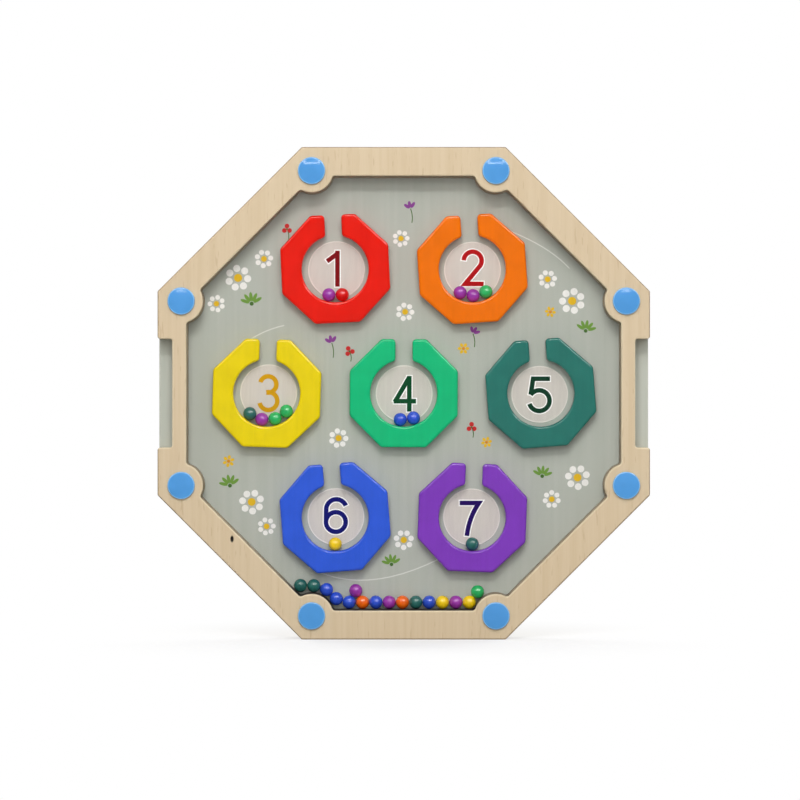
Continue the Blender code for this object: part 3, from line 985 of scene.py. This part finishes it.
# %% Turn the screws
HEAD_RADIUS = 4.0 * MM
HEAD_CROWN = 2.6 * MM
HEAD_HEIGHT = 2.0 * MM
HEAD_STEPS = 4
THREAD_RADIUS = 1.5 * MM
CORE_RADIUS = 1.15 * MM
THREAD_PITCH = 1.0 * MM
THREAD_TIP = 1.2 * MM
RECESS_LONG = 1.9 * MM
RECESS_WIDE = 0.45 * MM
RECESS_DEPTH = 1.0 * MM
SCREW_SIDES = 32
ZINC_PATCHES, ZINC_ROUGH = 500.0, (0.25, 0.4)
ZINC_GREY, ZINC_WARM = colour(196, 196, 192), colour(212, 210, 202)


def zinc_steel():
    made, shader, place = finish("zinc_steel", {"Metallic": 1.0})
    patch = clouds(place, ZINC_PATCHES)
    connect(patch.blend(ZINC_GREY, ZINC_WARM), shader, "Base Color")
    connect(patch.between(*ZINC_ROUGH), shader, "Roughness")
    return made


def screw_shape(tip, top):
    """A pan-head screw: the spun body is left open on top, and the cross recess closes it."""
    under = top - HEAD_HEIGHT
    profile = [(HEAD_CROWN, top)] + quarter(HEAD_RADIUS, top, HEAD_RADIUS - HEAD_CROWN, HEAD_STEPS)[1:]
    profile += [(HEAD_RADIUS, under), (CORE_RADIUS, under)]
    threads = int((under - tip - THREAD_TIP) / THREAD_PITCH)
    for i in range(threads):
        height = under - (i + 0.5) * THREAD_PITCH
        profile += [(THREAD_RADIUS, height), (CORE_RADIUS, height - THREAD_PITCH / 2)]
    bm = spun(profile + [(CORE_RADIUS, tip + THREAD_TIP), (0, tip)], SCREW_SIDES)
    rim = [edge for edge in bm.edges if edge.is_boundary]
    long, wide = RECESS_LONG, RECESS_WIDE
    arm = ((long, -wide), (long, wide), (wide, wide))
    cross = [(c * x - s * y, s * x + c * y) for c, s in ((1, 0), (0, 1), (-1, 0), (0, -1)) for x, y in arm]
    mouth = [bm.verts.new((x, -top, y)) for x, y in cross]
    floor = [bm.verts.new((x / 2, RECESS_DEPTH - top, y / 2)) for x, y in cross]
    for i in range(len(cross)):
        bm.faces.new((mouth[i - 1], mouth[i], floor[i], floor[i - 1]))
    bm.faces.new(floor)
    fill(bm, rim + loop_edges(bm, mouth))
    return bm


steel = zinc_steel()
screw = new_piece("screw_shape", screw_shape(*layer("screw_1")), steel)
stands_for(repeated("screws", screw, CAPS, steel, seed=5), *[f"screw_{i}" for i in range(1, 9)])

# %% [markdown]
# ## The balls
# The balls are painted wooden beads without a hole, just under 10 mm. A UV sphere has pinched poles that
# show in a highlight, so each ball is a cube whose grid is blown up to a sphere, with two tiny flats where
# it was held for turning. Every ball is its own piece on its own body, because it rolls or lifts by itself.

# %% Gloss paint
BALL_PAINT = {
    "red": colour(222, 6, 6),
    "orange": colour(255, 107, 0),
    "yellow": colour(255, 214, 14),
    "green": colour(44, 188, 101),
    "dark_green": colour(40, 106, 98),
    "blue": colour(46, 84, 212),
    "purple": colour(160, 54, 169),
}
GLOSS = {"Specular IOR Level": 0.0, "Coat Weight": 1.0, "Coat Roughness": 0.26, "Coat IOR": 1.7}
GLOSS_SPAN, GLOSS_ROUGH, GLOSS_RELIEF = (0.9, 1.06), (0.3, 0.36), (0.05, 0.05 * MM)
GLOSS_CLOUDS, GLOSS_DIMPLES = 260.0, 700.0


def gloss_paint(name, tint):
    """Dipped paint: a clear gloss over a slightly uneven colour."""
    made, shader, place = finish(name, GLOSS)
    cloud = clouds(place, GLOSS_CLOUDS)
    connect(uneven(cloud, tint, *GLOSS_SPAN), shader, "Base Color")
    connect(cloud.between(*GLOSS_ROUGH), shader, "Roughness")
    bump(noise(place, GLOSS_DIMPLES, detail=1.0), shader, *GLOSS_RELIEF)
    return made


print(len(BALL_PAINT), "ball paints")

# %% Blow up the balls
BALL_RADIUS = 4.88 * MM
BALL_GRID = 14
BALL_FLAT = 0.99
BALL_TURN, BALL_TIP = 2.4, 0.6      # how the balls' axes differ, in radians, and tip to the viewer


def ball(name, place, material, axis):
    """A round grid with a flat at both ends of an axis."""
    bm = bmesh.new()
    bmesh.ops.create_cube(bm, size=2.0)
    bmesh.ops.subdivide_edges(bm, edges=bm.edges[:], cuts=BALL_GRID - 1, use_grid_fill=True)
    for point in bm.verts:
        out = Vector([math.tan(value * math.pi / 4) for value in point.co]).normalized()
        reach = abs(out.dot(axis))
        point.co = place + out * BALL_RADIUS * (BALL_FLAT / reach if reach > BALL_FLAT else 1.0)
    return new_piece(name, bm, material)


paints = {tint: gloss_paint(f"gloss_{tint}", value) for tint, value in BALL_PAINT.items()}
ball_nodes = [node for node in NODES if "_ball_" in node]
for i, node in enumerate(ball_nodes):
    low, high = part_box(node)
    lean = direction(BALL_TURN * i)
    axis = Vector((lean.x, BALL_TIP, lean.y)).normalized()
    paint = paints[SLOT_OF[node].removeprefix("ball_")]
    stands_for(ball(f"{node}_painted", (low + high) / 2, paint, axis), node)

# %% [markdown]
# ## Number discs
# In every ring lies a pale disc with a raised rim, and on it a plain number in the ring's own tone. The
# discs are one spun shape on seven points. A number is a pen stroke along lines and arcs, so its outline is
# worked out from its path and a stroke width, which is truer to the round, even figures than a ready font
# would be. The dark numbers have a white edge: the same stroke, a little wider, under the ink.

# %% Ink on the board
INK_GRAIN = (500.0, 500.0, 40.0)
INK_SPAN, INK_ROUGH = (0.965, 1.02), (0.5, 0.6)
INK_RIM = (0.95, 0.97)
DULL = {"Specular IOR Level": 0.12}


def ink(name, tint, edge_tint=None):
    """Printed ink that takes up a little of the board's grain, and turns to a second tone along a rim."""
    made, shader, place = finish(name, DULL)
    grain = clouds(place, INK_GRAIN)
    print_colour = uneven(grain, tint, *INK_SPAN)
    if edge_tint:
        print_colour = edged(print_colour, edge_tint, place, *INK_RIM)
    connect(print_colour, shader, "Base Color")
    connect(grain.between(*INK_ROUGH), shader, "Roughness")
    return made


def lies_on_board(piece):
    """Lets a layer of print move with the board."""
    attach(piece, "board")
    print(piece.name, len(piece.data.polygons), "faces")


# The discs turn paler on their raised rim.
pale = ink("disc_print", colour(211, 204, 195), colour(228, 223, 214))
print("ink:", pale.name)

# %% Turn the discs
DISC_RADIUS = 21.0 * MM
DISC_HEIGHT = 0.25 * MM
DISC_SIDES = 96
RIM_HEIGHT = 0.45 * MM
RIM_WIDTH = 1.0 * MM
RIM_STEPS = 4
DISC_SHIFT = {      # in millimetres from the middle of the ring
    1: (0.8, -0.3), 2: (0.3, -0.6), 3: (1.0, 0.3), 4: (0.3, -0.3), 5: (-0.5, -0.8), 6: (0.3, 0.4),
    7: (-0.3, 0.1),
}
BOARD_FRONT = layer("back_board")[1]
DISC_FACE = BOARD_FRONT + DISC_HEIGHT
DISC_CENTRE = {n: RING_CENTRE[n] + Vector(shift) * MM for n, shift in DISC_SHIFT.items()}

rim = BOARD_FRONT + RIM_HEIGHT
inner = DISC_RADIUS - RIM_WIDTH
profile = [(0, DISC_FACE), (inner - FLAT_LOOP, DISC_FACE), (inner, DISC_FACE)]
profile += [(inner + RIM_WIDTH / 4, (DISC_FACE + rim) / 2), (inner + RIM_WIDTH / 2, rim)]
profile += quarter(DISC_RADIUS, rim, RIM_WIDTH / 3, RIM_STEPS)
profile += [(DISC_RADIUS, BOARD_FRONT), (0, BOARD_FRONT)]
disc = new_piece("disc_shape", spun(profile, DISC_SIDES), pale)
mark_edge(disc, DISC_RADIUS)
lies_on_board(repeated("number_discs", disc, DISC_CENTRE.values(), pale))

# %% Paths of the numbers
def sweep(x, y, radius, start, stop):
    """An arc in millimetres and degrees, as all paths of a pen are."""
    return arc(Vector((x, y)), radius, math.radians(start), math.radians(stop))


def bow(first, bend, last, steps=12):
    """A curve from one point to another that leans towards a third."""
    first, bend, last = Vector(first), Vector(bend), Vector(last)
    shares = [i / steps for i in range(steps + 1)]
    return [first * (1 - t) ** 2 + bend * 2 * t * (1 - t) + last * t ** 2 for t in shares]


def way(*points):
    return [Vector(point) for point in points]


NUMBERS = {
    1: [way((0.7, 14.1), (0.7, -12.4)), way((-7.0, 6.2), (1.1, 12.2))],
    2: [sweep(0.2, 7.0, 6.6, 178, -38) + way((-5.4, -10.1), (8.3, -10.1))],
    3: [
        sweep(-0.2, 6.2, 6.0, 164, -90) + way((-1.6, 0.3)),
        way((-1.6, 0.3)) + sweep(-0.1, -6.0, 6.6, 90, -168),
    ],
    4: [way((3.8, 13.1), (3.8, -13.2)), way((3.7, 11.9), (-6.9, -6.2)), way((-7.7, -5.5), (8.8, -5.5))],
    5: [way((7.6, 11.5), (-4.8, 11.5), (-6.6, -0.2)), sweep(-0.3, -4.6, 7.6, 146, -162)],
    6: [sweep(0.0, -3.9, 7.25, 0, 360), way((-7.25, -3.9)) + sweep(0.4, 5.3, 7.5, 180, 22)],
    7: [way((-8.8, 10.4), (5.4, 10.4)) + bow((5.4, 10.4), (-2.0, -0.4), (-3.5, -13.9))[1:]],
}
print(sum(len(paths) for paths in NUMBERS.values()), "strokes")

# %% Outlines of the strokes
STROKE, HALO = 3.4, 0.8     # the width of a stroke and of its white edge, in millimetres


def stroke_outlines(path, width):
    """The outlines of a pen stroke: one round an open path, two beside a closed one."""
    closed = (path[0] - path[-1]).length < STROKE / 100
    if closed:
        ring = path[:-1]
        return [moved_in(ring, -width / 2), list(reversed(moved_in(ring, width / 2)))]
    longer = (width - STROKE) / 2
    first = path[0] + (path[0] - path[1]).normalized() * longer
    path = [first] + path[1:-1] + [path[-1] + (path[-1] - path[-2]).normalized() * longer]
    left, right = [], []
    for i, point in enumerate(path):
        back = (point - path[max(i - 1, 0)]).normalized()
        ahead = (path[min(i + 1, len(path) - 1)] - point).normalized()
        along = (back + ahead).normalized()
        aside = Vector((-along.y, along.x))
        last = ahead if ahead.length else back
        reach = width / 2 / aside.dot(Vector((-last.y, last.x)))
        left.append(point + aside * reach)
        right.append(point - aside * reach)
    return [right + left[::-1]]


print(len(stroke_outlines(NUMBERS[6][0], STROKE)), "outlines beside a closed stroke")

# %% Print the numbers
INK_HEIGHT = 0.1 * MM
INK = {
    1: colour(126, 0, 10), 2: colour(178, 4, 12), 3: colour(210, 156, 10), 4: colour(4, 74, 38),
    5: colour(8, 58, 36), 6: colour(12, 14, 108), 7: colour(34, 4, 92),
}
PALE_INK = 0.8      # an ink whose light adds up to more has no white edge


def joined(name, shapes):
    """One closed piece from several that overlap."""
    first = shapes[0]
    for other in shapes[1:]:
        join = first.modifiers.new("join", "BOOLEAN")
        join.operation = "UNION"
        join.solver = "EXACT"
        join.object = other
    mesh = as_mesh(first, name)
    for shape in shapes:
        bpy.data.objects.remove(shape)
    return add_object(name, mesh)


def on_disc(outline, number):
    return [DISC_CENTRE[number] + point * MM for point in outline]


def print_number(name, number, width, height, material):
    """A number as a thin layer of ink on its disc."""
    shapes = []
    wall = straight(DISC_FACE, DISC_FACE + height)
    for path in NUMBERS[number]:
        walls = [(on_disc(outline, number), wall) for outline in stroke_outlines(path, width)]
        shapes.append(new_sheet("stroke", walls, material))
    lies_on_board(joined(name, shapes))


white = ink("white_print", colour(240, 238, 232))
halo = ink("number_edge_print", colour(255, 254, 250))
for number, tint in INK.items():
    if sum(tint[:3]) < PALE_INK:
        print_number(f"number_{number}_edge", number, STROKE + 2 * HALO, INK_HEIGHT / 2, halo)
    print_number(f"number_{number}", number, STROKE, INK_HEIGHT, ink(f"number_{number}_print", tint))

# %% [markdown]
# ## The garden print
# Between the rings the board has a small garden: dotted white rosettes, buttercups, leaves, berries and
# bells. All of them are ovals of ink set round a point, so one geometry tree prints them all. It makes one
# oval, fans it out round a centre, and puts that fan on every point of the piece, with the size and turn
# that the point carries. A second tree draws stems and long pale curves by sweeping a flat bar along a line.

# %% A tree that prints fans of ovals
OVAL_SIDES = 20


def stand_up(start, geometry):
    """Ends a tree that draws in the board's plane: the print is lifted to its height and stood up."""
    lift = start.vector(Y=0 - start.other("Height"), Z=MIDDLE)
    values = {"Geometry": geometry, "Translation": lift, "Rotation": (math.pi / 2, 0, 0)}
    end_tree(start, start.node("GeometryNodeTransform", sockets=values))


def carried(start, name):
    """A value that each point of the piece carries."""
    return start.node("GeometryNodeInputNamedAttribute", {"data_type": "FLOAT"}, {"Name": name})


FANS, start = new_tree("fans of ovals", {
    "Ovals": "Int", "Step": "Float", "Length": "Float", "Width": "Float", "Reach": "Float",
    "Height": "Float", "Thickness": "Float", "Finish": "Material",
})
ovals, step = start.other("Ovals"), start.other("Step")
oval = start.node(
    "GeometryNodeMeshCylinder",
    sockets={"Vertices": OVAL_SIDES, "Radius": 0.5, "Depth": start.other("Thickness")}, output="Mesh",
)
oval = start.node("GeometryNodeTransform", sockets={
    "Geometry": oval, "Translation": start.vector(X=start.other("Reach")),
    "Scale": start.vector(X=start.other("Length"), Y=start.other("Width"), Z=1.0),
})
angle = start.node("GeometryNodeInputIndex") * step - (ovals - 1) * step * 0.5 + math.pi / 2
fan = start.node("GeometryNodeInstanceOnPoints", sockets={
    "Points": start.node("GeometryNodePoints", sockets={"Count": ovals}), "Instance": oval,
    "Rotation": start.vector(Z=angle),
})
size = carried(start, "size")
stand_up(start, start.node("GeometryNodeInstanceOnPoints", sockets={
    "Points": start, "Instance": fan, "Rotation": start.vector(Z=carried(start, "turn")),
    "Scale": start.vector(X=size, Y=size, Z=1.0),
}))
print("tree:", FANS.name)

# %% A tree that draws lines
LINES, start = new_tree("ink lines", {
    "Width": "Float", "Thickness": "Float", "Height": "Float", "Finish": "Material",
})
line = start.node("GeometryNodeMeshToCurve", sockets={"Mesh": start})
bar = start.node(
    "GeometryNodeCurvePrimitiveQuadrilateral",
    sockets={0: start.other("Width"), 1: start.other("Thickness")},
)
values = {"Curve": line, "Profile Curve": bar, "Fill Caps": True}
stand_up(start, start.node("GeometryNodeCurveToMesh", sockets=values))
print("tree:", LINES.name)

# %% Where the garden grows
ROSETTES = (        # x and y in millimetres, size, and turn in degrees
    (-122, 85, 9.8, 8), (-103, 99, 7.0, 20), (-138, 66, 6.6, 40), (124, 68, 9.8, -12), (106, 84, 7.0, 20),
    (1, 60, 7.0, 10), (-48, -33, 7.4, 10), (-112, -80, 9.4, -20), (-101, -98, 6.8, 15), (128, -62, 9.4, 30),
    (109, -78, 6.8, 0), (0, -108, 7.6, 25), (-2, 114, 6.4, 15),
)
BUTTERCUPS = ((44, 33, 4.8, 0), (-129, -50, 5.0, 20), (61, -36, 4.6, 12), (108, 60, 4.6, -8))
TUFTS = (
    (-112, 66, 8.4, 6), (134, 46, 7.8, -10), (-128, -68, 8.0, 12), (102, -61, 7.6, -6), (-9, -126, 7.4, 8),
)
BERRIES = ((50, -25, 3.8, 0), (-40, 31, 3.8, 24), (-86, 121, 3.8, 0))
BELLS = ((-53, 37, 5.4, 14), (51, 44, 5.0, -30), (5, 136, 5.2, 12))
STEM_BEND, STEM_WIDTH, CURVE_WIDTH = 2.0, 0.7, 0.8
STEMS = [
    ((x, y), (x + STEM_BEND, y - size), (x + STEM_BEND / 2, y - 2 * size))
    for x, y, size, _ in BERRIES + BELLS
]
PALE_CURVES = (
    ((-136, 18), (-116, 44), (-88, 50)),
    ((60, 126), (104, 112), (122, 92)),
    ((-70, -128), (-30, -150), (26, -122)),
)
print(len(ROSETTES + BUTTERCUPS + TUFTS + BERRIES + BELLS), "motifs")

# %% Ways to print it
PRINT = 0.08 * MM


def print_fans(name, motifs, material, ovals, step, length, width, reach, layers):
    """Prints fans of ovals. Lengths are for a motif of size 1 mm."""
    mesh = bpy.data.meshes.new(name)
    mesh.from_pydata([(x * MM, y * MM, 0) for x, y, _, _ in motifs], [], [])
    store(mesh, "size", [size for _, _, size, _ in motifs])
    store(mesh, "turn", [math.radians(turn) for _, _, _, turn in motifs])
    lies_on_board(grown(name, mesh, FANS, {
        "Ovals": ovals, "Step": math.radians(step), "Length": length * MM, "Width": width * MM,
        "Reach": reach * MM, "Height": BOARD_FRONT + PRINT * layers / 2, "Thickness": PRINT * layers,
        "Finish": material,
    }))


def print_lines(name, paths, material, width):
    """Prints lines that bow through three points each."""
    mesh = bpy.data.meshes.new(name)
    points, edges = [], []
    for path in paths:
        curve = bow(*path)
        edges += [(len(points) + i, len(points) + i + 1) for i in range(len(curve) - 1)]
        points += [(p.x * MM, p.y * MM, 0) for p in curve]
    mesh.from_pydata(points, edges, [])
    lies_on_board(grown(name, mesh, LINES, {
        "Width": width * MM, "Thickness": PRINT, "Height": BOARD_FRONT + PRINT / 2, "Finish": material,
    }))


print("print is", round(PRINT / MM, 2), "mm thick")

# %% Print the garden
YELLOW = ink("yellow_print", colour(226, 182, 40))
ORANGE = ink("orange_print", colour(214, 138, 34))
LEAF = ink("leaf_print", colour(112, 152, 66))
LEAF_DARK = ink("dark_leaf_print", colour(74, 108, 50))
BERRY = ink("berry_print", colour(196, 44, 44))
BELL = ink("bell_print", colour(142, 72, 150))
PALE = ink("pale_line_print", colour(216, 218, 210))
GARDEN = (      # name, motifs, ink, ovals, degrees between them, length, width, reach and layers of ink
    ("rosette_dots", ROSETTES, white, 7, 360 / 7, 0.54, 0.54, 0.72, 1),
    ("rosette_hearts", ROSETTES, YELLOW, 1, 0, 0.62, 0.62, 0.0, 2),
    ("buttercup_petals", BUTTERCUPS, YELLOW, 6, 60, 0.62, 0.46, 0.58, 1),
    ("buttercup_hearts", BUTTERCUPS, ORANGE, 1, 0, 0.5, 0.5, 0.0, 2),
    ("leaf_tufts", TUFTS, LEAF, 5, 32, 0.82, 0.30, 0.62, 1),
    ("leaf_roots", TUFTS, LEAF_DARK, 1, 0, 0.36, 0.36, 0.0, 2),
    ("berries", BERRIES, BERRY, 3, 120, 0.92, 0.92, 0.58, 1),
    ("berry_hearts", BERRIES, LEAF_DARK, 1, 0, 0.34, 0.34, 0.0, 2),
    ("bell_petals", BELLS, BELL, 3, 44, 0.95, 0.46, 0.62, 1),
)
for fans in GARDEN:
    print_fans(*fans)
print_lines("stems", STEMS, LEAF_DARK, STEM_WIDTH)
print_lines("pale_curves", PALE_CURVES, PALE, CURVE_WIDTH)

# %% [markdown]
# ## Floor and world
# The photograph was taken straight on, from far away, in front of pure white. The floor is a pale plane that
# keeps the object's shadow and fades to white further out. The world is white to the eye, but lights the
# object only softly, and like a room it is dim on the camera's side, or its mirror image would lie over
# every colour as a haze. Light Path tells these rays apart.

# %% The floor
FLOOR_SIZE = 30.0
FLOOR_BOUNCE = colour(170, 170, 169)
FADE_START, FADE_STOP = 0.02, 0.24      # metres from the middle of the floor
FADE_LEAST = 0.5                        # how white the floor is right under the object
FADE_WIDE = 1.15
ROOM_LIGHT = 0.07
WHITE = (1.0, 1.0, 1.0, 1.0)


def rays(wire):
    """1 for rays that show a surface to the camera, straight or through glass, and 1 for reflected ones."""
    path = wire.node("ShaderNodeLightPath", output="Is Camera Ray")
    return path.maths("MAXIMUM", path, path.other("Is Transmission Ray")), path.other("Is Glossy Ray")


def floor_finish():
    made, shader, place = finish("pale_floor", {"Roughness": 0.9})
    seen, mirrored = rays(place)
    connect(seen.blend(FLOOR_BOUNCE, WHITE), shader, "Base Color")
    values = {0: place, 1: (1 / FADE_WIDE, 1.0, 1.0)}
    near = place.node("ShaderNodeVectorMath", {"operation": "MULTIPLY"}, values)
    far = place.node("ShaderNodeVectorMath", {"operation": "LENGTH"}, {0: near}, "Value")
    fade = far.rise(FADE_START, FADE_STOP).between(FADE_LEAST, 1)
    mix = place.maths("MAXIMUM", seen * fade, mirrored)
    glow = place.node("ShaderNodeEmission", sockets={"Color": seen.blend(shaded(WHITE, ROOM_LIGHT), WHITE)})
    matt = Wire(made.node_tree, shader.outputs[0])
    both = place.node("ShaderNodeMixShader", sockets={0: mix, 1: matt, 2: glow})
    connect(both, made.node_tree.nodes["Material Output"], "Surface")
    return made


floor_bm = bmesh.new()
bmesh.ops.create_grid(floor_bm, x_segments=1, y_segments=1, size=FLOOR_SIZE / 2)
floor = new_piece("floor", floor_bm, floor_finish())
floor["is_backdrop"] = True
print("floor", FLOOR_SIZE, "m wide")

# %% The world
SKY_LIGHT, GROUND_LIGHT = 0.28, 0.08
SKY_SPAN = (-0.6, 0.8)
ROOM_SPAN = (-0.5, 0.3)

world = bpy.data.worlds.new("white_studio")
bpy.context.scene.world = world
world.use_nodes = True
studio = Wire(world.node_tree)
backdrop = world.node_tree.nodes["Background"]
backdrop.inputs["Color"].default_value = WHITE
_, behind, above = studio.node("ShaderNodeTexCoord", output="Generated").axes()
seen, mirrored = rays(studio)
shown = studio.maths("MAXIMUM", seen, mirrored * behind.rise(*ROOM_SPAN).between(ROOM_LIGHT, 1))
sky = above.rise(*SKY_SPAN).between(GROUND_LIGHT, SKY_LIGHT)
lit = studio.node("ShaderNodeLightPath", output="Is Diffuse Ray") * sky
connect(shown.maths("MAXIMUM", shown, lit), backdrop, "Strength")
print("world:", world.name)

# %% [markdown]
# ## Lamps and camera
# Soft lamps above and in front draw the short shadows under the rings and the frame. A narrow strip draws a
# bar of light on the caps, and two lamps to the right and the left give no light but show as thin lines on
# edges. A broad lamp low in front fills the shadows, and two more stand behind for views of the sides and
# the back. The camera's lens follows from the size of a pixel of the photograph on the object.

# %% The lamps
def lamp(name, place, watts, width, height, lights=True, mirrored=True):
    """A soft lamp that looks at the middle of the board. It can be left out of the light or of mirrors."""
    data = bpy.data.lights.new(name, "AREA")
    data.shape = "RECTANGLE"
    data.energy = watts
    data.size = width
    data.size_y = height
    made = add_object(name, data)
    made.location = place
    made.visible_diffuse = lights
    made.visible_glossy = mirrored
    made.rotation_euler = (Vector((0, 0, MIDDLE)) - made.location).to_track_quat("-Z", "Y").to_euler()
    print(name, watts, "W")


lamp("high_lamp", (-0.1, -1.95, 1.44), watts=18.8, width=1.0, height=0.3)
lamp("top_lamp", (0.2, -1.55, 1.85), watts=8.5, width=1.3, height=0.8)
lamp("strip_lamp", (0.0, -2.3, 1.03), watts=4.0, width=1.3, height=0.1)
lamp("right_edge_lamp", (1.3, -1.75, 1.48), watts=26.0, width=0.8, height=0.8, lights=False)
lamp("left_edge_lamp", (-1.3, -1.75, 1.48), watts=9.0, width=0.8, height=0.8, lights=False)
lamp("fill_lamp", (0.0, -2.6, 0.35), watts=32.0, width=1.6, height=1.6, mirrored=False)
for side in (-1, 1):
    lamp(f"back_lamp_{side}", (side * 1.9, 1.4, 0.9), watts=36.0, width=1.2, height=1.2, mirrored=False)

# %% The camera
PHOTO_WIDTH = 800                       # in pixels
PHOTO_MIDDLE = (403.75, 393.25)         # the pixel at the middle of the board
PIXEL = 0.7308 * MM                     # on the front of the frame
SENSOR = 36.0                           # in millimetres
CAMERA_DISTANCE = 2.4

data = bpy.data.cameras.new("photo_camera")
data.sensor_width = SENSOR
data.lens = SENSOR * CAMERA_DISTANCE / (PHOTO_WIDTH * PIXEL)
camera = add_object("photo_camera", data)
aside = (PHOTO_WIDTH / 2 - PHOTO_MIDDLE[0]) * PIXEL
down = (PHOTO_WIDTH / 2 - PHOTO_MIDDLE[1]) * PIXEL
camera.location = (aside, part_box("front_frame")[0].y - CAMERA_DISTANCE, MIDDLE - down)
camera.rotation_euler = (math.pi / 2, 0, 0)
bpy.context.scene.camera = camera
bpy.context.scene.view_settings.view_transform = "Standard"
print("camera lens", round(data.lens, 1), "mm")

# %% [markdown]
# ## Comparing the size
# A finer surface is meant to keep the object's size. The largest difference between the solids' box and
# the finished model's box is printed.

# %% Print how far the two boxes differ
visual_box = [list(corner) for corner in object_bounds()]
print("largest difference", round(max(abs(a - b) for one, two in zip(CAD_BOX, visual_box)
                                      for a, b in zip(one, two)) / MM, 2), "mm")
